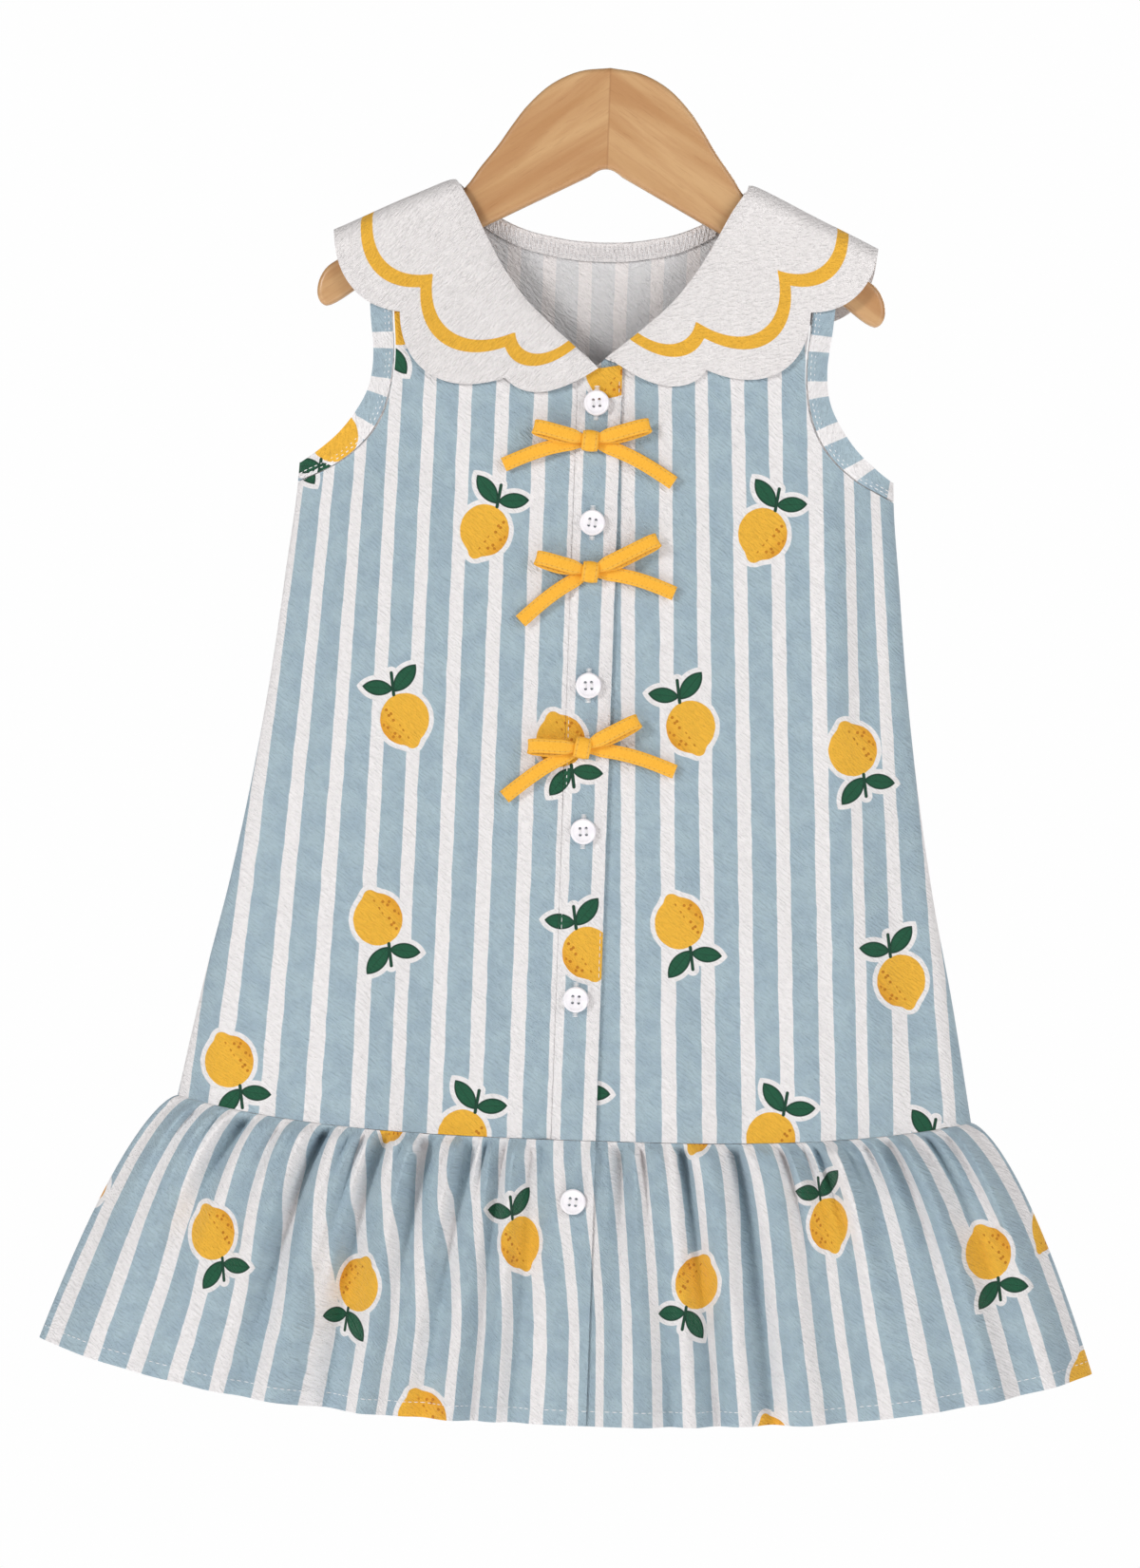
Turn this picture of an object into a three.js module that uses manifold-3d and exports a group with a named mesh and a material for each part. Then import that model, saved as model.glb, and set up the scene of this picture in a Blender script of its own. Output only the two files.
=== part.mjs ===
// A child's sleeveless A-line sundress on a flat wooden hanger.
// Millimetres, +Z up. The front of the dress faces -Y and +X is to the right of someone
// looking at the front. The origin is the top centre of the hanger, where it is held.
import * as THREE from 'three';
import { mergeVertices } from 'three/addons/utils/BufferGeometryUtils.js';
import Module from 'manifold-3d';

const wasm = await Module();
wasm.setup();

// ---------------------------------------------------------------- driving sizes
const CLOTH = 1.2; // thickness of one layer of cloth
const GAP = 0.3; // clearance between pieces that are sewn together
const LAYER = CLOTH + GAP; // distance between the middles of two layers
const COLLAR_LIFT = 2.35; // the collar stands a little off the bodice

// Line of the shoulders over the hanger; it rounds off towards the middle of the neck.
const RIDGE = { x: 71, z: -56.6, fall: 0.477, radius: 7.8, roundOff: 12 };
const NECK = { centre: -2, half: 71.2 }; // neck opening
const SHOULDER_END = 105; // where the shoulder meets the armhole binding
const SEAM = { z: -521, rise: 14, half: 193, bend: 3 }; // seam between bodice and ruffle
const HEM = { z: -658, rise: 31, half: 256, bend: 2.6 }; // lower edge of the front ruffle
const BACK_HEM_DROP = 3.5; // the back hangs this much lower
const SIDE_FLATNESS = 2.6; // how square the section is; 2 would be an ellipse
const ARMPIT_SPREAD = 0.7; // how fast the section widens above the armpit
const SWELL_OVER = 90; // the cloth reaches its full depth this far below the shoulder line
const YOKE = 20; // height of the top stretch of a panel, which turns over the hanger
const CROWDING = 0.66; // how much the columns of a panel crowd towards the side seam

const PLACKET = { left: -10.5, right: 10.8, top: -147, topSlope: 0.2 };
const UNDERLAP = -9; // the right front starts here, under the placket
const BUTTON = {
  radius: 6.25, thick: 2.6, rim: 1.2, round: 0.7, dish: 0.8, holeRadius: 0.8, holeOffset: 1.45,
};
const STRAP = { width: 7, thick: 1.1, pinch: 0.8 }; // the tape that the bows are tied from
const KNOT = { width: 9.5, height: 11.5, depth: 6.4, softness: 0.6 };
const TAIL = { start: 6, off: 0.65, arch: 2.2 }; // a tail leaves the knot and arches a little
const NECK_BAND = { reach: 56, width: 8.8, drop: 0.5 }; // serged band inside the back neck
const OVER_PLACKET = { full: 14, none: 30 }; // the collar rides up over the button strip here
const BINDING_INSET = 3.4 * GAP; // the binding stays this far out of the bodice's own edge
const HANGER = { thick: 8.4, edge: 2.4, tilt: -0.3 }; // tilt in degrees, right end lower

// ---------------------------------------------------------------- shape tables
// Half-width of the bodice and depth of its front (and back) at each level.
const BODICE = [
  { z: -60, half: 144.5, depth: 9.5 },
  { z: -120, half: 144.5, depth: 12.5 },
  { z: -200, half: 144.5, depth: 18 },
  { z: -250, half: 149.3, depth: 19.5 },
  { z: -300, half: 154.8, depth: 21 },
  { z: -350, half: 162, depth: 22.5 },
  { z: -400, half: 171, depth: 24 },
  { z: -450, half: 182, depth: 25.5 },
  { z: -507, half: 193, depth: 27 },
  { z: -530, half: 197, depth: 27.5 },
];

// Neck edges: distance from the middle of the neck, height of the front and of the back edge.
const NECKLINE = [
  { out: 0, front: -146, back: -84.5 },
  { out: 12.4, front: -135.6, back: -84 },
  { out: 22.3, front: -127, back: -82.6 },
  { out: 35.4, front: -114.5, back: -79.8 },
  { out: 46.6, front: -99.8, back: -75.4 },
  { out: 55.6, front: -84.2, back: -70.2 },
  { out: 63.5, front: -68.8, back: -64 },
  { out: 71.2, front: -57, back: -57 },
];

// Armhole binding, from the shoulder down to the armpit: its outer edge is the opening.
const ARMHOLE = [
  { outerX: 116, outerZ: -78.1, innerX: 105, innerZ: -72.8 },
  { outerX: 114.2, outerZ: -101, innerX: 102.8, innerZ: -98 },
  { outerX: 112.3, outerZ: -124, innerX: 101, innerZ: -123 },
  { outerX: 110.2, outerZ: -143, innerX: 99.6, innerZ: -143 },
  { outerX: 111.6, outerZ: -158, innerX: 101, innerZ: -160 },
  { outerX: 116.8, outerZ: -170, innerX: 105.5, innerZ: -175 },
  { outerX: 125.5, outerZ: -182, innerX: 114, innerZ: -187.5 },
  { outerX: 136, outerZ: -191.5, innerX: 127, innerZ: -198 },
  { outerX: 144.4, outerZ: -197.5, innerX: 144.4, innerZ: -206.5 },
];

// Collar: the ends of its scallops. turn runs along the neck from centre front (0) over the
// shoulder (0.5) to centre back (1); sag is how far the scallop that follows bulges out.
const SCALLOPS = [
  { turn: 0.02, leftX: -1, leftZ: -147, rightX: 6, rightZ: -143, sag: 10 },
  { turn: 0.115, leftX: -45.7, leftZ: -153, rightX: 51.6, rightZ: -146, sag: 14.5 },
  { turn: 0.3, leftX: -98.1, leftZ: -122.6, rightX: 101.2, rightZ: -116.1, sag: 34 },
  { turn: 0.72, leftX: -97, leftZ: -121, rightX: 97, rightZ: -121, sag: 14 },
  { turn: 0.88, leftX: -40, leftZ: -142, rightX: 40, rightZ: -142, sag: 9 },
];

// The ruffle flares from the seam to the hem and hangs further from the plane there. Its left
// half overlaps the right one at the opening, and its folds open out on their way down.
const RUFFLE = { hang: 38, flare: 0.66, overlapFrom: -26, overlapTo: -11, calm: 1.6 };
const FOLD_GROWTH = { spread: 0.8, width: 0.7, power: 0.8 };

// Ruffle folds: middle and half-width at the hem, and how far each stands out there.
const FRONT_FOLDS = [
  { x: -232, half: 13, out: 5 },
  { x: -203, half: 14, out: 6.5 },
  { x: -172, half: 13, out: 5.5 },
  { x: -143, half: 15, out: 7 },
  { x: -113, half: 9, out: -7 },
  { x: -96, half: 9, out: 6 },
  { x: -70, half: 8, out: -6 },
  { x: -56, half: 9, out: 5 },
  { x: -44, half: 7, out: -5 },
  { x: -26, half: 7, out: -5 },
  { x: 33, half: 13, out: 5 },
  { x: 52, half: 7, out: -7 },
  { x: 63, half: 8, out: 5 },
  { x: 75, half: 9, out: -8 },
  { x: 101, half: 8, out: -7 },
  { x: 118, half: 12, out: 6 },
  { x: 147, half: 13, out: 5 },
  { x: 178, half: 14, out: 7 },
  { x: 208, half: 12, out: 6 },
  { x: 235, half: 11, out: 6 },
];
const BACK_FOLDS = [
  { x: -226, half: 15, out: 6 },
  { x: -187, half: 15, out: 7 },
  { x: -150, half: 12, out: -5 },
  { x: -122, half: 15, out: 7 },
  { x: -84, half: 13, out: -6 },
  { x: -52, half: 15, out: 7 },
  { x: -16, half: 14, out: -5 },
  { x: 20, half: 16, out: 7 },
  { x: 58, half: 13, out: -6 },
  { x: 92, half: 15, out: 6 },
  { x: 128, half: 13, out: -5 },
  { x: 163, half: 16, out: 7 },
  { x: 200, half: 14, out: 5 },
  { x: 232, half: 13, out: 6 },
];

// Buttons down the front, and the middles of the three bows. A bow's row gives where each loop
// turns back and where each tail ends, across and down from its knot.
const BUTTONS = [
  { x: -1.2, z: -163.9 },
  { x: -1.2, z: -222.1 },
  { x: -0.3, z: -301 },
  { x: -0.4, z: -371.7 },
  { x: -1.2, z: -453 },
  { x: 0.8, z: -550.5 },
];
const BOWS = [
  {
    x: -3.6, z: -182.5,
    loopLeft: [-27, 6.5], loopRight: [28, 9],
    tailLeft: [-41.5, -13], tailRight: [41, -19],
  },
  {
    x: -1.3, z: -246,
    loopLeft: [-26, 6.5], loopRight: [31.5, 17],
    tailLeft: [-33, -25], tailRight: [41, -9],
  },
  {
    x: -2.1, z: -331.3,
    loopLeft: [-26, 0.5], loopRight: [26, 14.5],
    tailLeft: [-37, -25], tailRight: [45, -10],
  },
];

// Run of a loop of tape from the knot to its turn and back: distance along the front layer or,
// where fromTip is set, short of the loop's end, and how far the tape stands off the cloth.
const LOOP_RUN = [
  { at: 5.9, off: 3.7 },
  { at: 9, off: 5 },
  { at: 16, off: 5.4 },
  { at: 3, off: 5, fromTip: true },
  { at: 0.6, off: 4.2, fromTip: true },
  { at: 0.4, off: 3.3, fromTip: true },
  { at: 3, off: 2.5, fromTip: true },
  { at: 14, off: 2.3 },
  { at: 5.9, off: 2.2 },
];

// Upper outline of the hanger, from its middle to the end of one arm.
const HANGER_TOP = [
  { x: 0, z: 0 },
  { x: 15, z: -2.2 },
  { x: 28.5, z: -9 },
  { x: 39.3, z: -19.4 },
  { x: 46.6, z: -29.5 },
  { x: 53.1, z: -39.6 },
  { x: 61, z: -50.2 },
  { x: 71, z: -63.2 },
  { x: 92, z: -73.6 },
  { x: 132, z: -100.5 },
];
const HANGER_END = { outX: 139.5, outZ: -112, lowX: 133.5, lowZ: -121, footX: 117, footZ: -110.5 };
const HANGER_UNDER = { x: 8, z: -53, apexZ: -49.2 }; // inner corner, rounded

// ---------------------------------------------------------------- helpers
const lerp = THREE.MathUtils.lerp;
const clamp = THREE.MathUtils.clamp;
const smoothstep = THREE.MathUtils.smoothstep;

// A smooth curve through one column of a table, read by another column.
function column(rows, key, value) {
  const sorted = [...rows].sort((a, b) => a[key] - b[key]);
  const slopes = sorted.map((row, i) => {
    const before = sorted[Math.max(i - 1, 0)];
    const after = sorted[Math.min(i + 1, sorted.length - 1)];
    return (after[value] - before[value]) / (after[key] - before[key]);
  });
  return (k) => {
    const at = clamp(k, sorted[0][key], sorted[sorted.length - 1][key]);
    let i = 0;
    while (i < sorted.length - 2 && at > sorted[i + 1][key]) i += 1;
    const step = sorted[i + 1][key] - sorted[i][key];
    const u = (at - sorted[i][key]) / step;
    const a = sorted[i][value];
    const b = sorted[i + 1][value];
    const hermite = u * u * (3 - 2 * u);
    const bendA = slopes[i] * step * u * (1 - u) * (1 - u);
    const bendB = slopes[i + 1] * step * u * u * (1 - u);
    return a + (b - a) * hermite + bendA - bendB;
  };
}

const halfWidth = column(BODICE, 'z', 'half');
const fullDepth = column(BODICE, 'z', 'depth');
const frontNeck = column(NECKLINE, 'out', 'front');
const backNeck = column(NECKLINE, 'out', 'back');
const armholeX = column(ARMHOLE, 'innerZ', 'innerX');

// A closed solid from a skin of points: at(i, j) gives the middle of the wall.
function wall(columns, rows, at, thick = CLOTH, closedRing = false) {
  const middle = [];
  for (let j = 0; j <= rows; j += 1) {
    for (let i = 0; i <= columns; i += 1) middle.push(at(i, j));
  }
  const wide = columns + 1;
  const point = (i, j) => {
    const wrapped = closedRing ? (j + rows) % rows : clamp(j, 0, rows);
    return middle[wrapped * wide + clamp(i, 0, columns)];
  };
  const ringRows = closedRing ? rows : rows + 1;
  const positions = [];
  for (const side of [0.5, -0.5]) {
    for (let j = 0; j < ringRows; j += 1) {
      for (let i = 0; i <= columns; i += 1) {
        const across = point(i + 1, j).clone().sub(point(i - 1, j));
        const along = point(i, j + 1).clone().sub(point(i, j - 1));
        const normal = across.cross(along).normalize();
        const p = point(i, j).clone().addScaledVector(normal, side * thick);
        positions.push(p.x, p.y, p.z);
      }
    }
  }
  const layer = ringRows * wide;
  const index = [];
  const quad = (a, b, c, d) => index.push(a, b, c, a, c, d);
  const id = (i, j, side) => side * layer + (closedRing ? j % rows : j) * wide + i;
  for (let j = 0; j < rows; j += 1) {
    for (let i = 0; i < columns; i += 1) {
      quad(id(i, j, 0), id(i + 1, j, 0), id(i + 1, j + 1, 0), id(i, j + 1, 0));
      quad(id(i, j + 1, 1), id(i + 1, j + 1, 1), id(i + 1, j, 1), id(i, j, 1));
    }
    quad(id(0, j, 1), id(0, j, 0), id(0, j + 1, 0), id(0, j + 1, 1));
    quad(id(columns, j, 0), id(columns, j, 1), id(columns, j + 1, 1), id(columns, j + 1, 0));
  }
  for (let i = 0; i < columns && !closedRing; i += 1) {
    quad(id(i, 0, 1), id(i + 1, 0, 1), id(i + 1, 0, 0), id(i, 0, 0));
    quad(id(i, rows, 0), id(i + 1, rows, 0), id(i + 1, rows, 1), id(i, rows, 1));
  }
  return facingOut(positions, index);
}

// Turns a closed skin so that its faces point out of the solid.
function facingOut(positions, index) {
  const corner = (n) => new THREE.Vector3().fromArray(positions, 3 * n);
  let volume = 0;
  for (let n = 0; n < index.length; n += 3) {
    volume += corner(index[n]).dot(corner(index[n + 1]).cross(corner(index[n + 2])));
  }
  if (volume < 0) index.reverse();
  const geometry = new THREE.BufferGeometry();
  geometry.setAttribute('position', new THREE.Float32BufferAttribute(positions, 3));
  geometry.setIndex(index);
  return geometry;
}

function toSolid(geometry) {
  const bare = geometry.clone();
  bare.deleteAttribute('normal');
  bare.deleteAttribute('uv');
  const merged = mergeVertices(bare, 1e-4);
  return new wasm.Manifold(new wasm.Mesh({
    numProp: 3,
    vertProperties: new Float32Array(merged.attributes.position.array),
    triVerts: new Uint32Array(merged.index.array),
  }));
}

function fromSolid(solid) {
  const mesh = solid.getMesh();
  const geometry = new THREE.BufferGeometry();
  geometry.setAttribute('position', new THREE.Float32BufferAttribute(mesh.vertProperties, 3));
  geometry.setIndex(Array.from(mesh.triVerts));
  return geometry;
}

// ---------------------------------------------------------------- the hanging form
const ridgeZ = (x) => RIDGE.z - (Math.hypot(x, RIDGE.roundOff) - RIDGE.x) * RIDGE.fall;
const seamZ = (x) => SEAM.z + SEAM.rise * Math.abs(x / SEAM.half) ** SEAM.bend;
const hemZ = (across) => HEM.z + HEM.rise * Math.abs(across) ** HEM.bend;

// Distance of the cloth's middle from the plane of the hanger, at a place on the bodice.
function depth(x, z) {
  const below = Math.max(ridgeZ(x) - z, 0);
  const turn = Math.max(RIDGE.radius - below, 0);
  const overHanger = Math.sqrt(RIDGE.radius ** 2 - turn ** 2);
  const swell = (fullDepth(z) - RIDGE.radius) * smoothstep(below, 0, SWELL_OVER);
  const armpit = BODICE[2].z;
  const half = halfWidth(z) + Math.max(z - armpit, 0) * ARMPIT_SPREAD;
  const side = 1 - Math.min(Math.abs(x) / half, 1) ** SIDE_FLATNESS;
  return (overHanger + swell) * Math.sqrt(side);
}

// face is -1 on the front and 1 on the back; lift moves a layer outwards.
function onBodice(x, z, face, lift = 0) {
  return new THREE.Vector3(x, face * (GAP / 2 + depth(x, z) + lift), z);
}

// The same skin laid out flat: over is the distance from the shoulder line, positive in front.
const QUARTER_TURN = RIDGE.radius * (Math.PI / 2 - 1);
const layOut = (x, z, face) => -face * (Math.max(ridgeZ(x) - z, 0) + QUARTER_TURN);
function onShoulder(x, over, lift = 0) {
  const angle = Math.min(Math.abs(over) / RIDGE.radius, Math.PI / 2);
  const past = Math.max(Math.abs(over) - RIDGE.radius * Math.PI / 2, 0);
  const below = RIDGE.radius * (1 - Math.cos(angle)) + past;
  const z = ridgeZ(x) - below;
  const p = new THREE.Vector3(x, -Math.sign(over) * depth(x, z), z);
  const out = new THREE.Vector3(0, -Math.sign(over) * Math.sin(angle), Math.cos(angle));
  return p.addScaledVector(out, lift);
}

// ---------------------------------------------------------------- bodice
// Levels of a panel, from the ruffle seam to the top edge. The last ones turn over the hanger.
const SEAM_TO_YOKE = [0, 0.13, 0.26, 0.39, 0.52, 0.63, 0.72, 0.74, 0.757, 0.775, 0.81, 0.85, 0.9, 0.95, 1];
const TURN_OVER = [12, 7.6, 4.4, 2, 0.5, 0];
const PANEL_ROWS = SEAM_TO_YOKE.length + TURN_OVER.length - 1;

function levelBetween(low, high, j) {
  const last = SEAM_TO_YOKE.length;
  const yoke = high - YOKE;
  return j < last ? lerp(low, yoke, SEAM_TO_YOKE[j]) : high - TURN_OVER[j - last];
}

// Outer edge of a panel at a level: the side seam, then the armhole binding's inner edge.
const ARMPIT_Z = ARMHOLE[ARMHOLE.length - 1].innerZ;
function outerEdge(z) {
  return (z < ARMPIT_Z ? halfWidth(z) : armholeX(z)) - GAP / 2;
}

// Height of the top edge: the neckline, then the shoulder line.
function topEdge(x, neckEdge) {
  const out = Math.abs(x - NECK.centre);
  return out < NECK.half ? neckEdge(out) : ridgeZ(x);
}

function panelPoint(across, j, from, side, face) {
  const edge = levelBetween(seamZ(SEAM.half) + GAP / 2, ridgeZ(SHOULDER_END), j);
  const x = lerp(from, side * outerEdge(edge), across);
  const lowX = lerp(from, side * SEAM.half, across);
  const low = seamZ(lowX) + GAP / 2;
  const topX = lerp(from, side * SHOULDER_END, across);
  const neckEdge = face < 0 ? frontNeck : backNeck;
  return onBodice(x, levelBetween(low, topEdge(topX, neckEdge), j), face);
}

// Columns crowd towards the side seam, where the cloth turns round to the back.
const crowdOut = (share) => Math.sin(share * Math.PI / 2) * CROWDING + share * (1 - CROWDING);

function bodiceFront(side) {
  const columns = 11;
  const from = side < 0 ? PLACKET.left - GAP : UNDERLAP;
  return wall(columns, PANEL_ROWS, (i, j) => panelPoint(crowdOut(i / columns), j, from, side, -1));
}

function bodiceBack() {
  const columns = 20;
  return wall(columns, PANEL_ROWS, (i, j) => {
    const share = 2 * i / columns - 1;
    return panelPoint(crowdOut(Math.abs(share)), j, 0, Math.sign(share) || 1, 1);
  });
}

// The button strip lies one layer out from the fronts, over the right one.
function placket() {
  const columns = 3;
  const rows = 20;
  return wall(columns, rows, (i, j) => {
    const x = lerp(PLACKET.left, PLACKET.right, i / columns);
    const z = lerp(seamZ(0) + GAP / 2, PLACKET.top + Math.abs(x) * PLACKET.topSlope, j / rows);
    return onBodice(x, z, -1, LAYER);
  });
}

// The serged band on the inside of the back neck.
function backNeckSeam() {
  const columns = 16;
  return wall(columns, 1, (i, j) => {
    const out = lerp(-NECK_BAND.reach, NECK_BAND.reach, i / columns);
    const z = backNeck(Math.abs(out)) - NECK_BAND.drop - NECK_BAND.width * j;
    return onBodice(NECK.centre + out, z, 1, -LAYER);
  });
}

// Binding round one armhole: down the front, through the armpit and up the back.
function armholeBinding(side) {
  const dropping = [0, 0.04, 0.12, 0.22, 0.35, 0.6];
  const straight = [1, 1.5, 2, 2.5, 3, 3.5, 4, 4.5, 5, 5.5, 6];
  const armpit = [6.4, 6.8, 7.2, 7.5, 7.7, 7.85, 7.95];
  const stops = [...dropping, ...straight, ...armpit];
  const ring = [...stops, ...stops.slice(1).reverse().map((stop) => -stop)];
  const rows = ARMHOLE.map((row, index) => ({ ...row, index }));
  const read = (name) => column(rows, 'index', name);
  const edges = [[read('innerX'), read('innerZ')], [read('outerX'), read('outerZ')]];
  return wall(2, ring.length, (i, j) => {
    const stop = ring[j % ring.length];
    const inner = edges[0].map((edge) => edge(Math.abs(stop)));
    const outer = edges[1].map((edge) => edge(Math.abs(stop)));
    const x = lerp(inner[0] + BINDING_INSET, outer[0], i / 2);
    const fallFromRidge = ridgeZ(x) - lerp(inner[1], outer[1], i / 2);
    const z = ridgeZ(x) - Math.max(fallFromRidge, 0) * (stop === 0 ? 0 : 1);
    const face = stop < 0 ? 1 : -1;
    return onBodice(side * x, z, stop === 0 ? 0 : face);
  }, CLOTH, true);
}

// ---------------------------------------------------------------- collar
// The neck seam, from centre front (0) over the shoulder (0.5) to centre back (1).
function neckSeam(turn, side) {
  const out = NECK.half * Math.sin(Math.PI * turn);
  const face = turn <= 0.5 ? -1 : 1;
  const x = NECK.centre + side * out;
  const z = (face < 0 ? frontNeck : backNeck)(out);
  const nearRidge = Math.max(1 - Math.abs(turn - 0.5) / 0.04, 0);
  return { x, over: layOut(x, z, face) * (1 - nearRidge) };
}

// A point on the circular arc that bulges by sag from the line between two scallop ends.
function scallopEdge(a, b, sag, u) {
  const chord = Math.hypot(b.x - a.x, b.over - a.over);
  const radius = (chord * chord / 4 + sag * sag) / (2 * sag);
  const half = Math.asin(Math.min(chord / (2 * radius), 1));
  const angle = lerp(-half, half, u);
  const along = radius * Math.sin(angle) / chord + 0.5;
  const bulge = radius * Math.cos(angle) - (radius - sag);
  const outwards = { x: (b.over - a.over) / chord, over: -(b.x - a.x) / chord };
  const flip = Math.sign(outwards.x * (a.x + b.x)) || 1;
  return {
    x: lerp(a.x, b.x, along) + flip * bulge * outwards.x,
    over: lerp(a.over, b.over, along) + flip * bulge * outwards.over,
  };
}

// The scallop ends of one half of the collar, laid out flat.
function scallopEnds(side) {
  return SCALLOPS.map((row, index) => {
    const x = side < 0 ? row.leftX : row.rightX;
    const z = side < 0 ? row.leftZ : row.rightZ;
    return { x, over: layOut(x, z, index < 3 ? -1 : 1), turn: row.turn, sag: row.sag };
  });
}

function collarHalf(side) {
  const ends = scallopEnds(side);
  const stepsPerScallop = [6, 8, 24, 8];
  const line = [];
  stepsPerScallop.forEach((steps, k) => {
    for (let n = 0; n < steps; n += 1) {
      const u = n / steps;
      const edge = scallopEdge(ends[k], ends[k + 1], ends[k].sag, u);
      line.push({ inner: neckSeam(lerp(ends[k].turn, ends[k + 1].turn, u), side), outer: edge });
    }
  });
  return line;
}

// The scallop across the centre of the back joins the two halves.
function collarBackScallop() {
  const steps = 8;
  const from = scallopEnds(-1)[4];
  const to = scallopEnds(1)[4];
  const line = [];
  for (let n = 0; n <= steps; n += 1) {
    const u = n / steps;
    const turn = 1 - (1 - from.turn) * Math.abs(1 - 2 * u);
    const bulge = SCALLOPS[4].sag * Math.sin(Math.PI * u);
    const outer = { x: lerp(from.x, to.x, u), over: from.over - bulge };
    line.push({ inner: neckSeam(turn, u < 0.5 ? -1 : 1), outer });
  }
  return line;
}

function collar() {
  const right = collarHalf(1).reverse();
  const line = [...collarHalf(-1), ...collarBackScallop(), ...right];
  const columns = 3;
  return wall(columns, line.length - 1, (i, j) => {
    const { inner, outer } = line[j];
    const x = lerp(inner.x, outer.x, i / columns);
    const over = lerp(inner.over, outer.over, i / columns);
    const ride = 1 - smoothstep(Math.abs(x), OVER_PLACKET.full, OVER_PLACKET.none);
    const overPlacket = over > 0 ? (LAYER + GAP) * ride : 0;
    return onShoulder(x, over, COLLAR_LIFT + overPlacket);
  });
}

// ---------------------------------------------------------------- ruffle
// How far the folds push the ruffle out at x, level down from 0 at the seam to 1 at the hem.
function foldsOut(folds, x, down) {
  let out = 0;
  for (const fold of folds) {
    const middle = fold.x * lerp(FOLD_GROWTH.spread, 1, down);
    const away = (x - middle) / (fold.half * lerp(FOLD_GROWTH.width, 1, down));
    out += fold.out * Math.exp(-away * away);
  }
  return out * down ** FOLD_GROWTH.power;
}

// across runs from -1 at the left seam to 1 at the right one.
function rufflePoint(across, down, face, folds, lift = 0) {
  const half = lerp(SEAM.half, HEM.half, down ** RUFFLE.flare);
  const x = across * half;
  const hem = hemZ(across) - (face > 0 ? BACK_HEM_DROP * (1 - across ** 4) : 0);
  const z = lerp(seamZ(across * SEAM.half) - GAP / 2, hem, down);
  const round = Math.sqrt(Math.max(1 - Math.abs(across) ** SIDE_FLATNESS, 0));
  const hang = lerp(fullDepth(SEAM.z), RUFFLE.hang, down);
  const calm = Math.min(round * RUFFLE.calm, 1);
  const y = GAP + hang * round + foldsOut(folds, x, down) * calm + lift;
  return new THREE.Vector3(x, face * y, z);
}

const RUFFLE_ROWS = [0, 0.08, 0.2, 0.38, 0.6, 0.82, 1];

function ruffleFront(side) {
  const columns = 30;
  return wall(columns, RUFFLE_ROWS.length - 1, (i, j) => {
    const down = RUFFLE_ROWS[j];
    const half = lerp(SEAM.half, HEM.half, down ** RUFFLE.flare);
    const opening = (side < 0 ? PLACKET.right : UNDERLAP) / half;
    const across = lerp(opening, side, crowdOut(i / columns));
    const overlap = side < 0 ? LAYER * smoothstep(across * half, RUFFLE.overlapFrom, RUFFLE.overlapTo) : 0;
    return rufflePoint(across, down, -1, FRONT_FOLDS, overlap);
  });
}

function ruffleBack() {
  const columns = 44;
  return wall(columns, RUFFLE_ROWS.length - 1, (i, j) => {
    const share = 2 * i / columns - 1;
    const across = Math.sign(share) * crowdOut(Math.abs(share));
    return rufflePoint(across, RUFFLE_ROWS[j], 1, BACK_FOLDS);
  });
}

// ---------------------------------------------------------------- buttons and bows
// Outer face of the button strip at x and z; below the seam it is the ruffle's own edge.
function stripFace(x, z) {
  if (z > SEAM.z) return -(GAP / 2 + depth(x, z) + LAYER + CLOTH / 2);
  const down = (SEAM.z - z) / (SEAM.z - HEM.z);
  const half = lerp(SEAM.half, HEM.half, down ** RUFFLE.flare);
  return rufflePoint(x / half, down, -1, FRONT_FOLDS, LAYER + CLOTH / 2).y;
}

// A four-hole button with a raised rim, standing on the strip.
function button() {
  const { radius, thick, rim, round, dish, holeRadius, holeOffset } = BUTTON;
  const profile = [
    [0, 0],
    [radius - round, 0],
    [radius, round],
    [radius, thick - round],
    [radius - round, thick],
    [radius - rim - round / 2, thick - dish / 5],
    [radius - rim - 2 * round, thick - dish],
    [0, thick - dish],
  ].map(([r, h]) => new THREE.Vector2(r, h));
  const turned = new THREE.LatheGeometry(profile, 18);
  let solid = toSolid(turned);
  for (const sx of [-1, 1]) {
    for (const sz of [-1, 1]) {
      const hole = new THREE.CylinderGeometry(holeRadius, holeRadius, 4 * thick, 8);
      hole.translate(sx * holeOffset, 0, sz * holeOffset);
      solid = solid.subtract(toSolid(hole));
    }
  }
  return fromSolid(solid);
}

// A flat strap through points on the front of the dress; widths gives its width at each.
function strap(path, widths) {
  const run = path[path.length >> 1].clone().sub(path[0]);
  const sideways = new THREE.Vector3(-run.z, 0, run.x).normalize();
  return wall(1, path.length - 1, (i, j) => {
    return path[j].clone().addScaledVector(sideways, (i - 0.5) * widths[j]);
  }, STRAP.thick);
}

// The loop of tape: out from the knot, round a tight bend and back behind itself.
function bowLoop(bow, tip) {
  const reach = Math.hypot(...tip);
  const base = stripFace(bow.x, bow.z);
  const path = LOOP_RUN.map(({ at, off, fromTip }) => {
    const share = (fromTip ? reach - at : at) / reach;
    const x = bow.x + tip[0] * share;
    const z = bow.z + tip[1] * share;
    return new THREE.Vector3(x, Math.min(base, stripFace(x, z)) - off - GAP, z);
  });
  const ends = [0, path.length - 1];
  return strap(path, path.map((_, j) => STRAP.width * (ends.includes(j) ? STRAP.pinch : 1)));
}

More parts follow.
